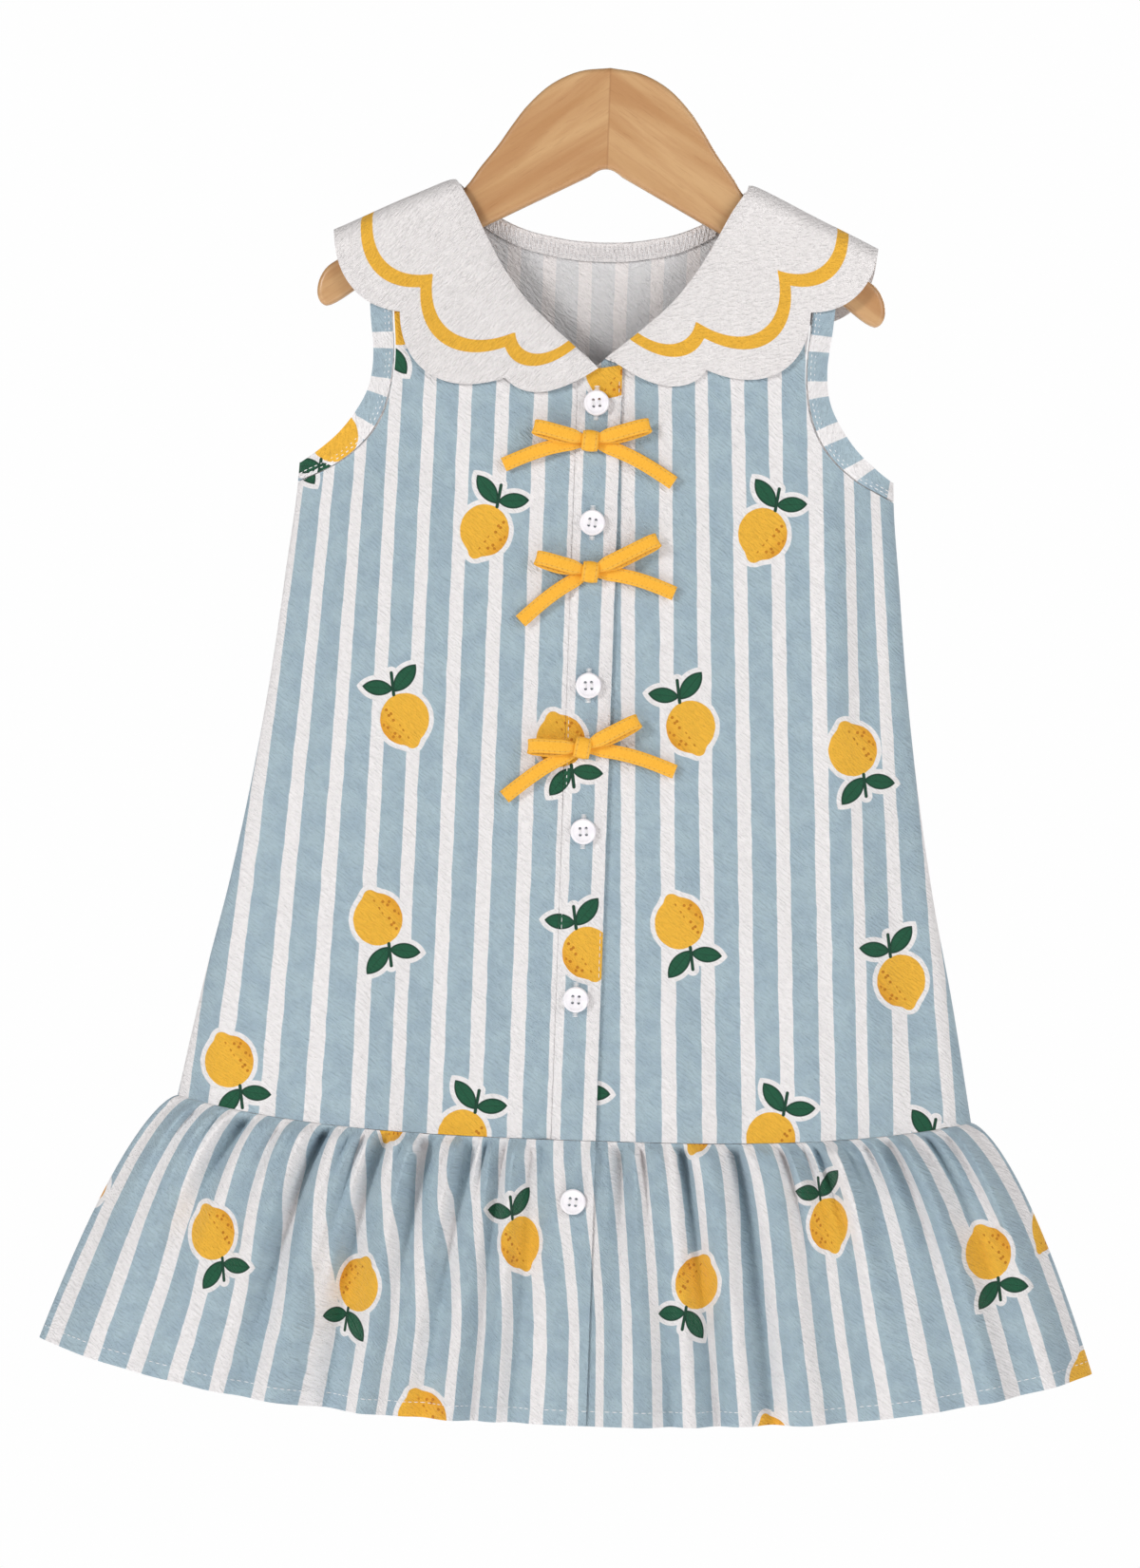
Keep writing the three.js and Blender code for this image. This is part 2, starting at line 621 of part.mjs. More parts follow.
// A tail of tape: from under the knot to its cut end.
function bowTail(bow, tip) {
  const steps = 7;
  const reach = Math.hypot(...tip);
  const base = stripFace(bow.x, bow.z);
  const path = [];
  for (let n = 0; n <= steps; n += 1) {
    const share = lerp(TAIL.start / reach, 1, n / steps);
    const x = bow.x + tip[0] * share;
    const z = bow.z + tip[1] * share + TAIL.arch * Math.sin(Math.PI * share);
    path.push(new THREE.Vector3(x, Math.min(base, stripFace(x, z)) - GAP - TAIL.off, z));
  }
  return strap(path, path.map(() => STRAP.width));
}

// The knot: a rounded pad that stands on the strip.
function bowKnot(bow) {
  const geometry = new THREE.SphereGeometry(1, 12, 8);
  const soften = (v) => Math.sign(v) * Math.abs(v) ** KNOT.softness;
  const at = geometry.attributes.position;
  for (let n = 0; n < at.count; n += 1) {
    const x = soften(at.getX(n)) * KNOT.width / 2;
    const y = soften(at.getZ(n)) * KNOT.depth / 2;
    const z = soften(at.getY(n)) * KNOT.height / 2;
    at.setXYZ(n, x, y, z);
  }
  const merged = mergeVertices(stripped(geometry), 1e-4);
  merged.translate(bow.x, stripFace(bow.x, bow.z) - GAP - KNOT.depth / 2, bow.z);
  return facingOut(Array.from(merged.attributes.position.array), Array.from(merged.index.array));
}

function stripped(geometry) {
  geometry.deleteAttribute('normal');
  geometry.deleteAttribute('uv');
  return geometry;
}

// ---------------------------------------------------------------- hanger
function hanger() {
  const { outX, outZ, lowX, lowZ, footX, footZ } = HANGER_END;
  const spline = new THREE.CatmullRomCurve3(HANGER_TOP.map(({ x, z }) => new THREE.Vector3(x, z, 0)));
  const upper = spline.getPoints(20).map((p) => new THREE.Vector2(p.x, p.y));
  const end = new THREE.CubicBezierCurve(
    upper[upper.length - 1],
    new THREE.Vector2(outX, outZ + 6),
    new THREE.Vector2(outX + 1, outZ - 8),
    new THREE.Vector2(lowX, lowZ),
  ).getPoints(6).slice(1);
  const foot = new THREE.QuadraticBezierCurve(
    end[end.length - 1],
    new THREE.Vector2(lowX - 6, lowZ + 1),
    new THREE.Vector2(footX, footZ),
  ).getPoints(3).slice(1);
  const inner = new THREE.QuadraticBezierCurve(
    new THREE.Vector2(HANGER_UNDER.x, HANGER_UNDER.z),
    new THREE.Vector2(HANGER_UNDER.x / 2, HANGER_UNDER.apexZ),
    new THREE.Vector2(0, HANGER_UNDER.apexZ),
  ).getPoints(3);
  const right = [...upper, ...end, ...foot, ...inner];
  const mirrored = right.slice(1, -1).reverse().map((p) => new THREE.Vector2(-p.x, p.y));
  const outline = new THREE.Shape([...right, ...mirrored]);
  const geometry = new THREE.ExtrudeGeometry(outline, {
    depth: HANGER.thick - 2 * HANGER.edge,
    bevelEnabled: true,
    bevelThickness: HANGER.edge,
    bevelSize: HANGER.edge,
    bevelOffset: -HANGER.edge,
    bevelSegments: 3,
  });
  geometry.translate(0, 0, -(HANGER.thick / 2 - HANGER.edge));
  geometry.rotateX(Math.PI / 2);
  const merged = mergeVertices(stripped(geometry), 1e-4);
  return facingOut(Array.from(merged.attributes.position.array), Array.from(merged.index.array));
}

// ---------------------------------------------------------------- materials
const finish = (color, roughness) => new THREE.MeshStandardMaterial({ color, roughness, metalness: 0 });
const MATERIALS = {
  striped: () => finish(0xa9c5d4, 0.75),
  collar: () => finish(0xf1e7e6, 0.75),
  tape: () => finish(0xf2b93e, 0.6),
  button: () => finish(0xf8f3f7, 0.3),
  wood: () => finish(0xc3915f, 0.5),
  thread: () => finish(0xe8e4e2, 0.85),
};

// ---------------------------------------------------------------- assembly
const dress = new THREE.Group();

function add(name, geometry, material) {
  geometry.computeVertexNormals();
  const mesh = new THREE.Mesh(geometry, MATERIALS[material]());
  mesh.name = name;
  dress.add(mesh);
  return mesh;
}

add('bodice_front_left', bodiceFront(-1), 'striped');
add('bodice_front_right', bodiceFront(1), 'striped');
add('bodice_back', bodiceBack(), 'striped');
add('placket', placket(), 'striped');
add('ruffle_front_left', ruffleFront(-1), 'striped');
add('ruffle_front_right', ruffleFront(1), 'striped');
add('ruffle_back', ruffleBack(), 'striped');
add('collar', collar(), 'collar');
add('armhole_binding_left', armholeBinding(-1), 'striped');
add('armhole_binding_right', armholeBinding(1), 'striped');
add('back_neck_seam', backNeckSeam(), 'thread');

BUTTONS.forEach(({ x, z }, index) => {
  const disc = add(`button_${index + 1}`, button(), 'button');
  disc.rotation.x = Math.PI;
  disc.position.set(x, stripFace(x, z - BUTTON.radius) - GAP, z);
});

BOWS.forEach((bow, index) => {
  const name = `bow_${index + 1}`;
  add(`${name}_knot`, bowKnot(bow), 'tape');
  add(`${name}_loop_left`, bowLoop(bow, bow.loopLeft), 'tape');
  add(`${name}_loop_right`, bowLoop(bow, bow.loopRight), 'tape');
  add(`${name}_tail_left`, bowTail(bow, bow.tailLeft), 'tape');
  add(`${name}_tail_right`, bowTail(bow, bow.tailRight), 'tape');
});

const held = add('hanger', hanger(), 'wood');
held.rotation.y = -THREE.MathUtils.degToRad(HANGER.tilt);

export default dress;
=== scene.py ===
# A child's sleeveless cotton sundress on a wooden hanger, seen from the front.
# Sizes are millimetres in the frame's own axes and become metres when a mesh is made.
import math
import random

import bpy
import numpy as np
from mathutils import Matrix, Vector


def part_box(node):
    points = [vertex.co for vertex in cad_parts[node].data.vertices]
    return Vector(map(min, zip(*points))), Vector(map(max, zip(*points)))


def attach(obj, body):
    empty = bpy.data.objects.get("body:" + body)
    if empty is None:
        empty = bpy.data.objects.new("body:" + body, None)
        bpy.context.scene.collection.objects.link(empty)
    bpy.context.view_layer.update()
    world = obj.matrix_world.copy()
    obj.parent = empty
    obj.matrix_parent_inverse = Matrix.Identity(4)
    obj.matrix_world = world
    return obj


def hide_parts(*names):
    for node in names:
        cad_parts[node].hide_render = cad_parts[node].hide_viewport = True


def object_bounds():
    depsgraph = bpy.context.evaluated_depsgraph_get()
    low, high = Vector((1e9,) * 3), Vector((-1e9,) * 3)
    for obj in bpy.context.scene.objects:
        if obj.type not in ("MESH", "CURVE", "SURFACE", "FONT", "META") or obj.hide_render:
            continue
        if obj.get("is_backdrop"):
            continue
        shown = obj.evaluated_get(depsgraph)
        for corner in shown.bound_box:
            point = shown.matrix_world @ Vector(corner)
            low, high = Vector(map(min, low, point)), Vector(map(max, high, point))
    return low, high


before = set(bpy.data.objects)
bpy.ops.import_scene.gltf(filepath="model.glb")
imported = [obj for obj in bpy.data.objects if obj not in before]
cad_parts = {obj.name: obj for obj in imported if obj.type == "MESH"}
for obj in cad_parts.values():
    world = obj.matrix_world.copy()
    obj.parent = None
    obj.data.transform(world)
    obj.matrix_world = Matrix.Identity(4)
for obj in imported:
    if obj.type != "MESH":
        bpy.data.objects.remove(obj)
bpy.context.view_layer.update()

MM = 0.001


def box_mm(node):
    """Lowest and highest corner of a CAD node, in millimetres."""
    low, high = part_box(node)
    return np.array(low) / MM, np.array(high) / MM


# ------------------------------------------------------------ sizes shared with the solids
GAP = 0.3  # between pieces at a seam
LAYER = 1.5  # how far a piece lies off the one below it
COLLAR_LIFT = 2.35
# The ridge is the line along which the cloth turns over the hanger's arms: its height at
# RIDGE_X, its fall outwards, the radius of the turn, and how much its peak is rounded.
RIDGE_X, RIDGE_Z, RIDGE_FALL, RIDGE_RADIUS, RIDGE_ROUND = 71, -56.6, 0.477, 7.8, 12
NECK_CENTRE, NECK_HALF = -2, 71.2
SHOULDER_END = 105
SEAM_Z, SEAM_RISE, SEAM_HALF = -521, 14, 193
HEM_Z, HEM_RISE, HEM_HALF, HEM_CURVE = -658, 31, 256, 2.6
BACK_HEM_DROP = 3.5
SIDE_FLATNESS = 2.6  # 2 would make each level an ellipse; more is flatter
PLACKET_LEFT, PLACKET_RIGHT, PLACKET_TOP = -10.5, 10.8, -147
UNDERLAP = -9
RUFFLE_HANG, RUFFLE_FLARE = 38, 0.66
YOKE = 20  # the stretch below the ridge in which the rows of points turn over it


def table(names, rows):
    """A table with named columns."""
    return dict(zip(names.split(), np.array(rows, float).T))


BODICE = table("z half depth", [
    (-530, 197, 27.5), (-507, 193, 27), (-450, 182, 25.5), (-400, 171, 24), (-350, 162, 22.5),
    (-300, 154.8, 21), (-250, 149.3, 19.5), (-200, 144.5, 18), (-120, 144.5, 12.5), (-60, 144.5, 9.5),
])
NECKLINE = table("out front back", [
    (0, -146, -84.5), (12.4, -135.6, -84), (22.3, -127, -82.6), (35.4, -114.5, -79.8),
    (46.6, -99.8, -75.4), (55.6, -84.2, -70.2), (63.5, -68.8, -64), (71.2, -57, -57),
])
ARMHOLE = table("outer_x outer_z inner_x inner_z", [
    (116, -78.1, 105, -72.8), (114.2, -101, 102.8, -98), (112.3, -124, 101, -123),
    (110.2, -143, 99.6, -143), (111.6, -158, 101, -160), (116.8, -170, 105.5, -175),
    (125.5, -182, 114, -187.5), (136, -191.5, 127, -198), (144.4, -197.5, 144.4, -206.5),
])
SCALLOPS = table("turn left_x left_z right_x right_z sag", [
    (0.02, -1, -147, 6, -143, 10), (0.115, -45.7, -153, 51.6, -146, 14.5),
    (0.3, -98.1, -122.6, 101.2, -116.1, 34), (0.72, -97, -121, 97, -121, 14),
    (0.88, -40, -142, 40, -142, 9),
])
FRONT_FOLDS = table("x half out", [
    (-232, 13, 5), (-203, 14, 6.5), (-172, 13, 5.5), (-143, 15, 7), (-113, 9, -7), (-96, 9, 6),
    (-70, 8, -6), (-56, 9, 5), (-44, 7, -5), (-26, 7, -5), (33, 13, 5), (52, 7, -7), (63, 8, 5),
    (75, 9, -8), (101, 8, -7), (118, 12, 6), (147, 13, 5), (178, 14, 7), (208, 12, 6), (235, 11, 6),
])
BACK_FOLDS = table("x half out", [
    (-226, 15, 6), (-187, 15, 7), (-150, 12, -5), (-122, 15, 7), (-84, 13, -6), (-52, 15, 7),
    (-16, 14, -5), (20, 16, 7), (58, 13, -6), (92, 15, 6), (128, 13, -5), (163, 16, 7),
    (200, 14, 5), (232, 13, 6),
])
HANGER_TOP = table("x z", [
    (0, 0), (15, -2.2), (28.5, -9), (39.3, -19.4), (46.6, -29.5), (53.1, -39.6), (61, -50.2),
    (71, -63.2), (92, -73.6), (132, -100.5),
])

# ------------------------------------------------------------ helpers


def lerp(a, b, t):
    return a + (b - a) * t


def smoothstep(value, low, high):
    t = np.clip((value - low) / (high - low), 0, 1)
    return t * t * (3 - 2 * t)


def unit(vectors):
    """Vectors of length 1, from those in the last axis."""
    return vectors / np.maximum(np.linalg.norm(vectors, axis=-1, keepdims=True), 1e-9)


def distances(path):
    """How far along a line of points each of them lies."""
    return np.concatenate([[0], np.cumsum(np.linalg.norm(np.diff(path, axis=0), axis=1))])


def column(rows, key, value):
    """A smooth curve through one column of a table, read by another column."""
    order = np.argsort(rows[key])
    keys, values = rows[key][order], rows[value][order]
    before = np.maximum(np.arange(len(keys)) - 1, 0)
    after = np.minimum(np.arange(len(keys)) + 1, len(keys) - 1)
    slopes = (values[after] - values[before]) / (keys[after] - keys[before])

    def read(at):
        at = np.clip(at, keys[0], keys[-1])
        i = np.clip(np.searchsorted(keys, at) - 1, 0, len(keys) - 2)
        step = keys[i + 1] - keys[i]
        u = (at - keys[i]) / step
        bend = slopes[i] * step * u * (1 - u) ** 2 - slopes[i + 1] * step * u * u * (1 - u)
        return values[i] + (values[i + 1] - values[i]) * u * u * (3 - 2 * u) + bend

    return read


half_width = column(BODICE, "z", "half")
full_depth = column(BODICE, "z", "depth")
front_neck = column(NECKLINE, "out", "front")
back_neck = column(NECKLINE, "out", "back")
armhole_x = column(ARMHOLE, "inner_z", "inner_x")


def ridge_z(x):
    return RIDGE_Z - (np.hypot(x, RIDGE_ROUND) - RIDGE_X) * RIDGE_FALL


def seam_z(x):
    return SEAM_Z + SEAM_RISE * np.abs(x / SEAM_HALF) ** 3


def hem_z(across):
    return HEM_Z + HEM_RISE * np.abs(across) ** HEM_CURVE


# Soft troughs (out below 0) and ridges in the bodice: a line from (x1, z1) to (x2, z2), its
# half-width and how far it stands out. The back has its own of the same kind.
FRONT_CREASES = table("x1 z1 x2 z2 half out", [
    (126, -208, 141, -345, 9, -2.2), (112, -200, 118, -330, 10, 1.3), (-126, -208, -139, -350, 9, -2.0),
    (-110, -196, -120, -330, 11, 1.2), (88, -168, 60, -236, 12, -0.9), (-88, -178, -52, -240, 13, -0.9),
    (20, -200, 17, -500, 7, -1.0), (34, -150, 30, -260, 9, 0.8), (-30, -165, -26, -280, 9, -0.7),
    (150, -380, 168, -500, 10, -2.0), (128, -360, 150, -505, 11, 1.4), (-148, -370, -166, -500, 10, -1.8),
    (-70, -420, -78, -515, 9, -1.3), (-104, -400, -118, -512, 12, 1.2), (72, -430, 80, -515, 9, -1.2),
    (44, -440, 47, -518, 7, 0.9), (-44, -450, -46, -518, 8, 0.9), (104, -420, 115, -514, 8, 1.0),
])
BACK_CREASES = table("x1 z1 x2 z2 half out", [
    (124, -206, 138, -350, 10, -2.1), (-124, -206, -140, -345, 9, -2.1), (80, -150, 50, -260, 14, -1.0),
    (-76, -150, -44, -250, 13, -1.1), (10, -200, 6, -430, 16, 1.2), (-60, -400, -70, -515, 10, -1.5),
    (66, -390, 74, -515, 11, -1.4), (20, -440, 22, -518, 8, 1.0), (-26, -430, -28, -518, 9, -1.0),
    (140, -380, 160, -505, 10, -1.8), (-142, -380, -160, -503, 11, -1.8), (110, -420, 118, -512, 9, 1.2),
])

CREASE_GROWTH = 1.8  # how much deeper the creases lie where nothing rests on them
NEAR_STRIP, CLEAR_OF_STRIP = 24, 48  # they deepen between these distances from the middle
CREASE_SWAY = 2.2  # how far each wanders from its straight line
SWELL_REACH = 90  # the cloth is at its full depth this far below the ridge
ARMPIT_Z, WIDENING = -200, 0.7  # above the armpit the level's curve closes outside the cloth


def creases(x, z, rows):
    """How far the creases of a table move the cloth out."""
    out = 0
    for x1, z1, x2, z2, half, height in zip(*rows.values()):
        run = math.hypot(x2 - x1, z2 - z1)
        along = ((x - x1) * (x2 - x1) + (z - z1) * (z2 - z1)) / run ** 2
        aside = ((x - x1) * (z2 - z1) - (z - z1) * (x2 - x1)) / run
        aside = aside + CREASE_SWAY * np.sin(along * 5 + x1)
        fade = smoothstep(along, -0.15, 0.25) * smoothstep(-along, -1.15, -0.7)
        out = out + height * np.exp(-(aside / half) ** 2) * fade
    return out * lerp(1, CREASE_GROWTH, smoothstep(np.abs(x), NEAR_STRIP, CLEAR_OF_STRIP))


def depth(x, z, face=0):
    """Distance of the cloth from the plane of the hanger; face adds that side's creases."""
    below = np.maximum(ridge_z(x) - z, 0)
    turn = np.maximum(RIDGE_RADIUS - below, 0)
    over_hanger = np.sqrt(RIDGE_RADIUS ** 2 - turn ** 2)
    swell = (full_depth(z) - RIDGE_RADIUS) * smoothstep(below, 0, SWELL_REACH)
    half = half_width(z) + np.maximum(z - ARMPIT_Z, 0) * WIDENING
    side = np.sqrt(1 - np.minimum(np.abs(x) / half, 1) ** SIDE_FLATNESS)
    folds = 0
    if face:
        rows = FRONT_CREASES if face < 0 else BACK_CREASES
        folds = creases(x, z, rows) * np.minimum(side * 1.3, 1)
    return (over_hanger + swell) * side + folds


def on_bodice(x, z, face, lift=0):
    x, z = np.broadcast_arrays(np.asarray(x, float), np.asarray(z, float))
    y = np.sign(face) * (GAP / 2 + depth(x, z, face) + lift)
    return np.stack([x, y, z], -1)


# ------------------------------------------------------------ the print
STRIPE = 18.2  # blue and white together
BLUE_HALF = 0.316  # half of a blue stripe, as a share of STRIPE
PRINT_LEVEL = -245  # the height at which the middles of the blue stripes are listed
PRINT_TOP, PRINT_BOTTOM = -130, -540  # the stripes lean only between these heights
LEFT_STRIPES = [-172, -156, -140.5, -124.9, -108.8, -91.6, -74.5, -56.4, -37.8, -18.8, -1.0, 17]
RIGHT_STRIPES = [-11, 7.5, 26.2, 44.6, 62.3, 80.5, 98.9, 118.4, 132, 146, 161, 177]
LEFT_FIRST, RIGHT_FIRST = -10, -1
LEFT_LEAN = table("x lean", [
    (0, 0), (20, 0), (57, .005), (101, .016), (118, .04), (131, .061), (150, .1),
])
RIGHT_LEAN = table("x lean", [
    (0, .03), (30, .038), (70, .05), (126, .056), (138, .082), (152, .112),
])


def stripe_number(x, z, middles, first, lean):
    """Position counted in stripes: a whole number in the middle of a blue one."""
    drop = PRINT_LEVEL - np.maximum(np.minimum(z, PRINT_TOP), PRINT_BOTTOM)
    level_x = x
    for _ in range(4):
        slant = np.interp(np.abs(level_x), lean["x"], lean["lean"])
        level_x = x - np.sign(x) * slant * drop
    step = np.interp(level_x, middles, np.arange(len(middles)) + first)
    past = np.maximum(level_x - middles[-1], 0) + np.minimum(level_x - middles[0], 0)
    return step + past / STRIPE


# The print's lemons: middle of the fruit, which way they are turned, and their width.
# kind: A has its leaves at the top and its point at the lower left, B is A mirrored, and
# a C or D is A or B turned upside down. E is a fruit whose leaves don't show.
LEFT_LEMONS = [
    (-53.3, -227.4, "A", 1), (-53.6, -520.6, "A", 1), (-88.7, -320.2, "B", 1), (3.5, -430.2, "B", 1),
    (-12.9, -328.2, "D", 1), (-98.2, -417.7, "D", 1), (-168, -489.2, "D", 1), (-98.2, -126.3, "C", 1),
    (-141, -181, "C", 1), (5, -148.5, "E", 1),
]
RIGHT_LEMONS = [
    (81.5, -224.5, "A", 1), (95.4, -516.8, "A", 1), (49.8, -319.1, "B", 1), (156.2, -438.7, "B", 1),
    (128.8, -327.8, "D", 1), (47.6, -414.4, "D", 1), (174, -229, "B", 1), (168, -527.5, "A", 1),
    (-4, -483, "D", 1),
]
# On the back they stand in rows, every second row half a step aside.
BACK_STEP_X, BACK_STEP_Z = 134, 98
BACK_LEMONS = [
    (8 + BACK_STEP_X * (i + row % 2 / 2), -150 - BACK_STEP_Z * row + (7 if (i + row) % 2 else -5),
     "ADBC"[(i + 2 * row) % 4], 1)
    for row in range(5) for i in (-2, -1, 0, 1)
]
RUFFLE_LEMONS = [
    (-172.4, -572.2, "D", 0.88), (-101.2, -594.5, "C", 0.8), (-23.8, -571.1, "B", 0.78),
    (62, -587.9, "C", 0.86), (124.9, -557.2, "B", 0.78), (202.6, -569.2, "D", 0.95),
    (-68.2, -657, "E", 1), (230.2, -555.3, "E", 0.5), (-88, -512, "A", 0.6), (60, -512, "A", 0.6),
    (100.7, -664, "E", 0.8), (256, -629.5, "E", 1), (-237.5, -550, "E", 1),
]
BACK_RUFFLE_LEMONS = [
    (-205, -585, "A", 0.9), (-132, -560, "D", 0.85), (-70, -600, "B", 0.9), (-8, -562, "C", 0.9),
    (20, -662, "B", 0.9), (58, -598, "A", 0.85), (118, -566, "D", 0.9), (190, -590, "B", 0.9),
]
FAR_AWAY = (0, 900, "A", 1)
LEAVES_ABOVE = 5  # the middle of fruit and leaves together, above the fruit's own


def motif_place(x, z, lemon):
    """Place in the lemon's own axes, leaves up and point at the lower left."""
    cx, cz, kind, width = lemon
    across = (x - cx) / width
    up = z - cz
    across, up = (-across if kind in "BC" else across), (-up if kind in "CD" else up)
    return across, -np.abs(up) if kind == "E" else up


# ------------------------------------------------------------ meshes
THREAD_TIP = 0.35  # radius of a thread's end, as a share of its radius


def new_object(name, data):
    made = bpy.data.objects.new(name, data)
    bpy.context.scene.collection.objects.link(made)
    return made


def finish_mesh(name, points, faces, materials, face_materials=None, uvs=None, sharp=40):
    mesh = bpy.data.meshes.new(name)
    mesh.from_pydata((np.asarray(points) * MM).tolist(), [], [list(map(int, f)) for f in faces])
    for material in materials:
        mesh.materials.append(material)
    if face_materials is not None:
        mesh.polygons.foreach_set("material_index", np.asarray(face_materials, np.int32))
    for layer, values in (uvs or {}).items():
        mesh.uv_layers.new(name=layer).data.foreach_set("uv", np.asarray(values, np.float32).ravel())
    mesh.shade_smooth()
    mesh.set_sharp_from_angle(angle=math.radians(sharp))
    mesh.update()
    piece = new_object(name, mesh)
    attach(piece, "root")
    return piece


def normals_of(grid):
    return unit(np.cross(np.gradient(grid, axis=1), np.gradient(grid, axis=0)))


def cloth(name, grid, stripe, along, outwards, materials, slot, thick=0.6, lemons=(), trim=None):
    """A thin closed shell round a grid of points. outwards says which way its right side faces."""
    rows, columns = grid.shape[:2]
    normal = normals_of(grid)
    if (normal * outwards).sum() < 0:
        normal = -normal
        order = (0, 3, 2, 1)
    else:
        order = (0, 1, 2, 3)
    count = rows * columns
    points = np.concatenate([
        (grid + normal * thick / 2).reshape(-1, 3),
        (grid - normal * thick / 2).reshape(-1, 3),
    ])
    ids = np.arange(count).reshape(rows, columns)
    quads = np.stack([ids[:-1, :-1], ids[:-1, 1:], ids[1:, 1:], ids[1:, :-1]], -1).reshape(-1, 4)
    ring = np.concatenate([ids[0, :-1], ids[:-1, -1], ids[-1, :0:-1], ids[:0:-1, 0]])
    after = np.roll(ring, -1)
    rim = np.stack([ring, ring + count, after + count, after], -1)
    outer = quads[:, order]
    inner = quads[:, order[::-1]] + count
    rim = rim if order[1] == 1 else rim[:, ::-1]
    faces = np.concatenate([outer, inner, rim])
    kinds = np.concatenate([np.zeros(len(outer)), np.ones(len(inner)), np.zeros(len(rim))])
    corner = faces % count
    flat = np.stack([np.broadcast_to(part, (rows, columns)) for part in (stripe, along)], -1)
    uvs = {"cloth": flat.reshape(-1, 2)[corner]}
    x, z = grid[..., 0].reshape(-1)[corner], grid[..., 2].reshape(-1)[corner]
    choices = list(lemons) or [FAR_AWAY]
    places = np.array([motif_place(x, z, lemon) for lemon in choices])
    # Each face shows the lemon whose middle is nearest, allowing for the leaves above it.
    distance = np.hypot(places[:, 0], places[:, 1] - LEAVES_ABOVE).mean(-1)
    nearest = distance.argmin(0)
    each = np.arange(len(faces))
    uvs["motif"] = np.stack([places[nearest, 0, each], places[nearest, 1, each]], -1)
    if trim is not None:
        edge = np.broadcast_to(trim, (rows, columns)).reshape(-1)[corner]
        uvs["trim"] = np.stack([edge, np.zeros_like(edge)], -1)
    return finish_mesh(name, points, faces, materials, kinds, uvs)


def sweep(name, path, section, sideways, material, taper):
    """A section of (across, off) points carried along a path; sideways is its across direction."""
    path = np.asarray(path, float)
    section = np.asarray(section, float)
    run = unit(np.gradient(path, axis=0))
    aside = np.broadcast_to(np.asarray(sideways, float), path.shape)
    aside = unit(aside - (aside * run).sum(1, keepdims=True) * run)
    off = np.cross(run, aside)
    rings = path[:, None] + aside[:, None] * (section[:, 0] * taper[:, None])[..., None] \
        + off[:, None] * np.broadcast_to(section[:, 1], (len(path), len(section)))[..., None]
    n = len(section)
    ids = np.arange(len(path) * n).reshape(len(path), n)
    right = np.roll(ids, -1, axis=1)
    faces = np.stack([ids[:-1], ids[1:], right[1:], right[:-1]], -1).reshape(-1, 4).tolist()
    v = np.repeat(distances(path), n)
    u = np.tile(section[:, 0], len(path))
    faces += [list(ids[0]), list(ids[-1][::-1])]
    flat = [(u[i], v[i]) for face in faces for i in face]
    return finish_mesh(name, rings.reshape(-1, 3), faces, [material],
                       uvs={"cloth": flat}, sharp=50)


def joined(name, parts, material):
    """One mesh out of several lists of points and faces."""
    points, faces, start = [], [], 0
    for some_points, some_faces in parts:
        points.extend(some_points)
        faces.extend([[i + start for i in f] for f in some_faces])
        start += len(some_points)
    return finish_mesh(name, points, faces, [material], sharp=60)


def thread(points, radius, sides=6):
    """Points and faces of a round thread through a list of points, thin at both ends."""
    path = np.asarray(points, float)
    run = unit(np.gradient(path, axis=0))
    helper = np.where(np.abs(run[:, 1:2]) > 0.8, [[1.0, 0, 0]], [[0, 1.0, 0]])
    a = unit(np.cross(run, helper))
    b = np.cross(run, a)
    angle = np.arange(sides) * 2 * math.pi / sides
    size = np.full(len(path), float(radius))
    size[0] = size[-1] = radius * THREAD_TIP
    round_it = a[:, None] * np.cos(angle)[:, None] + b[:, None] * np.sin(angle)[:, None]
    rings = path[:, None] + size[:, None, None] * round_it
    faces = []
    for j in range(len(path) - 1):
        for i in range(sides):
            k = (i + 1) % sides
            faces.append([j * sides + i, j * sides + k, (j + 1) * sides + k, (j + 1) * sides + i])
    faces.append(list(range(sides))[::-1])
    faces.append([(len(path) - 1) * sides + i for i in range(sides)])
    return rings.reshape(-1, 3).tolist(), faces


def stitch_row(line, normal, pitch=3.3, share=0.68, radius=0.24):
    """Short stitches along a line of points, each sinking into the cloth at both ends."""
    line = np.asarray(line, float)
    normal = np.broadcast_to(np.asarray(normal, float), line.shape)
    length = distances(line)
    parts = []
    for n in range(int(length[-1] / pitch)):
        at = np.linspace(n * pitch, (n + share) * pitch, 4)
        place = np.stack([np.interp(at, length, line[:, k]) for k in range(3)], -1)
        out = np.stack([np.interp(at, length, normal[:, k]) for k in range(3)], -1)
        arch = np.array([-0.15, 0.12, 0.12, -0.15])[:, None]
        parts.append(thread(place + out * arch, radius, sides=5))
    return parts


# ------------------------------------------------------------ materials


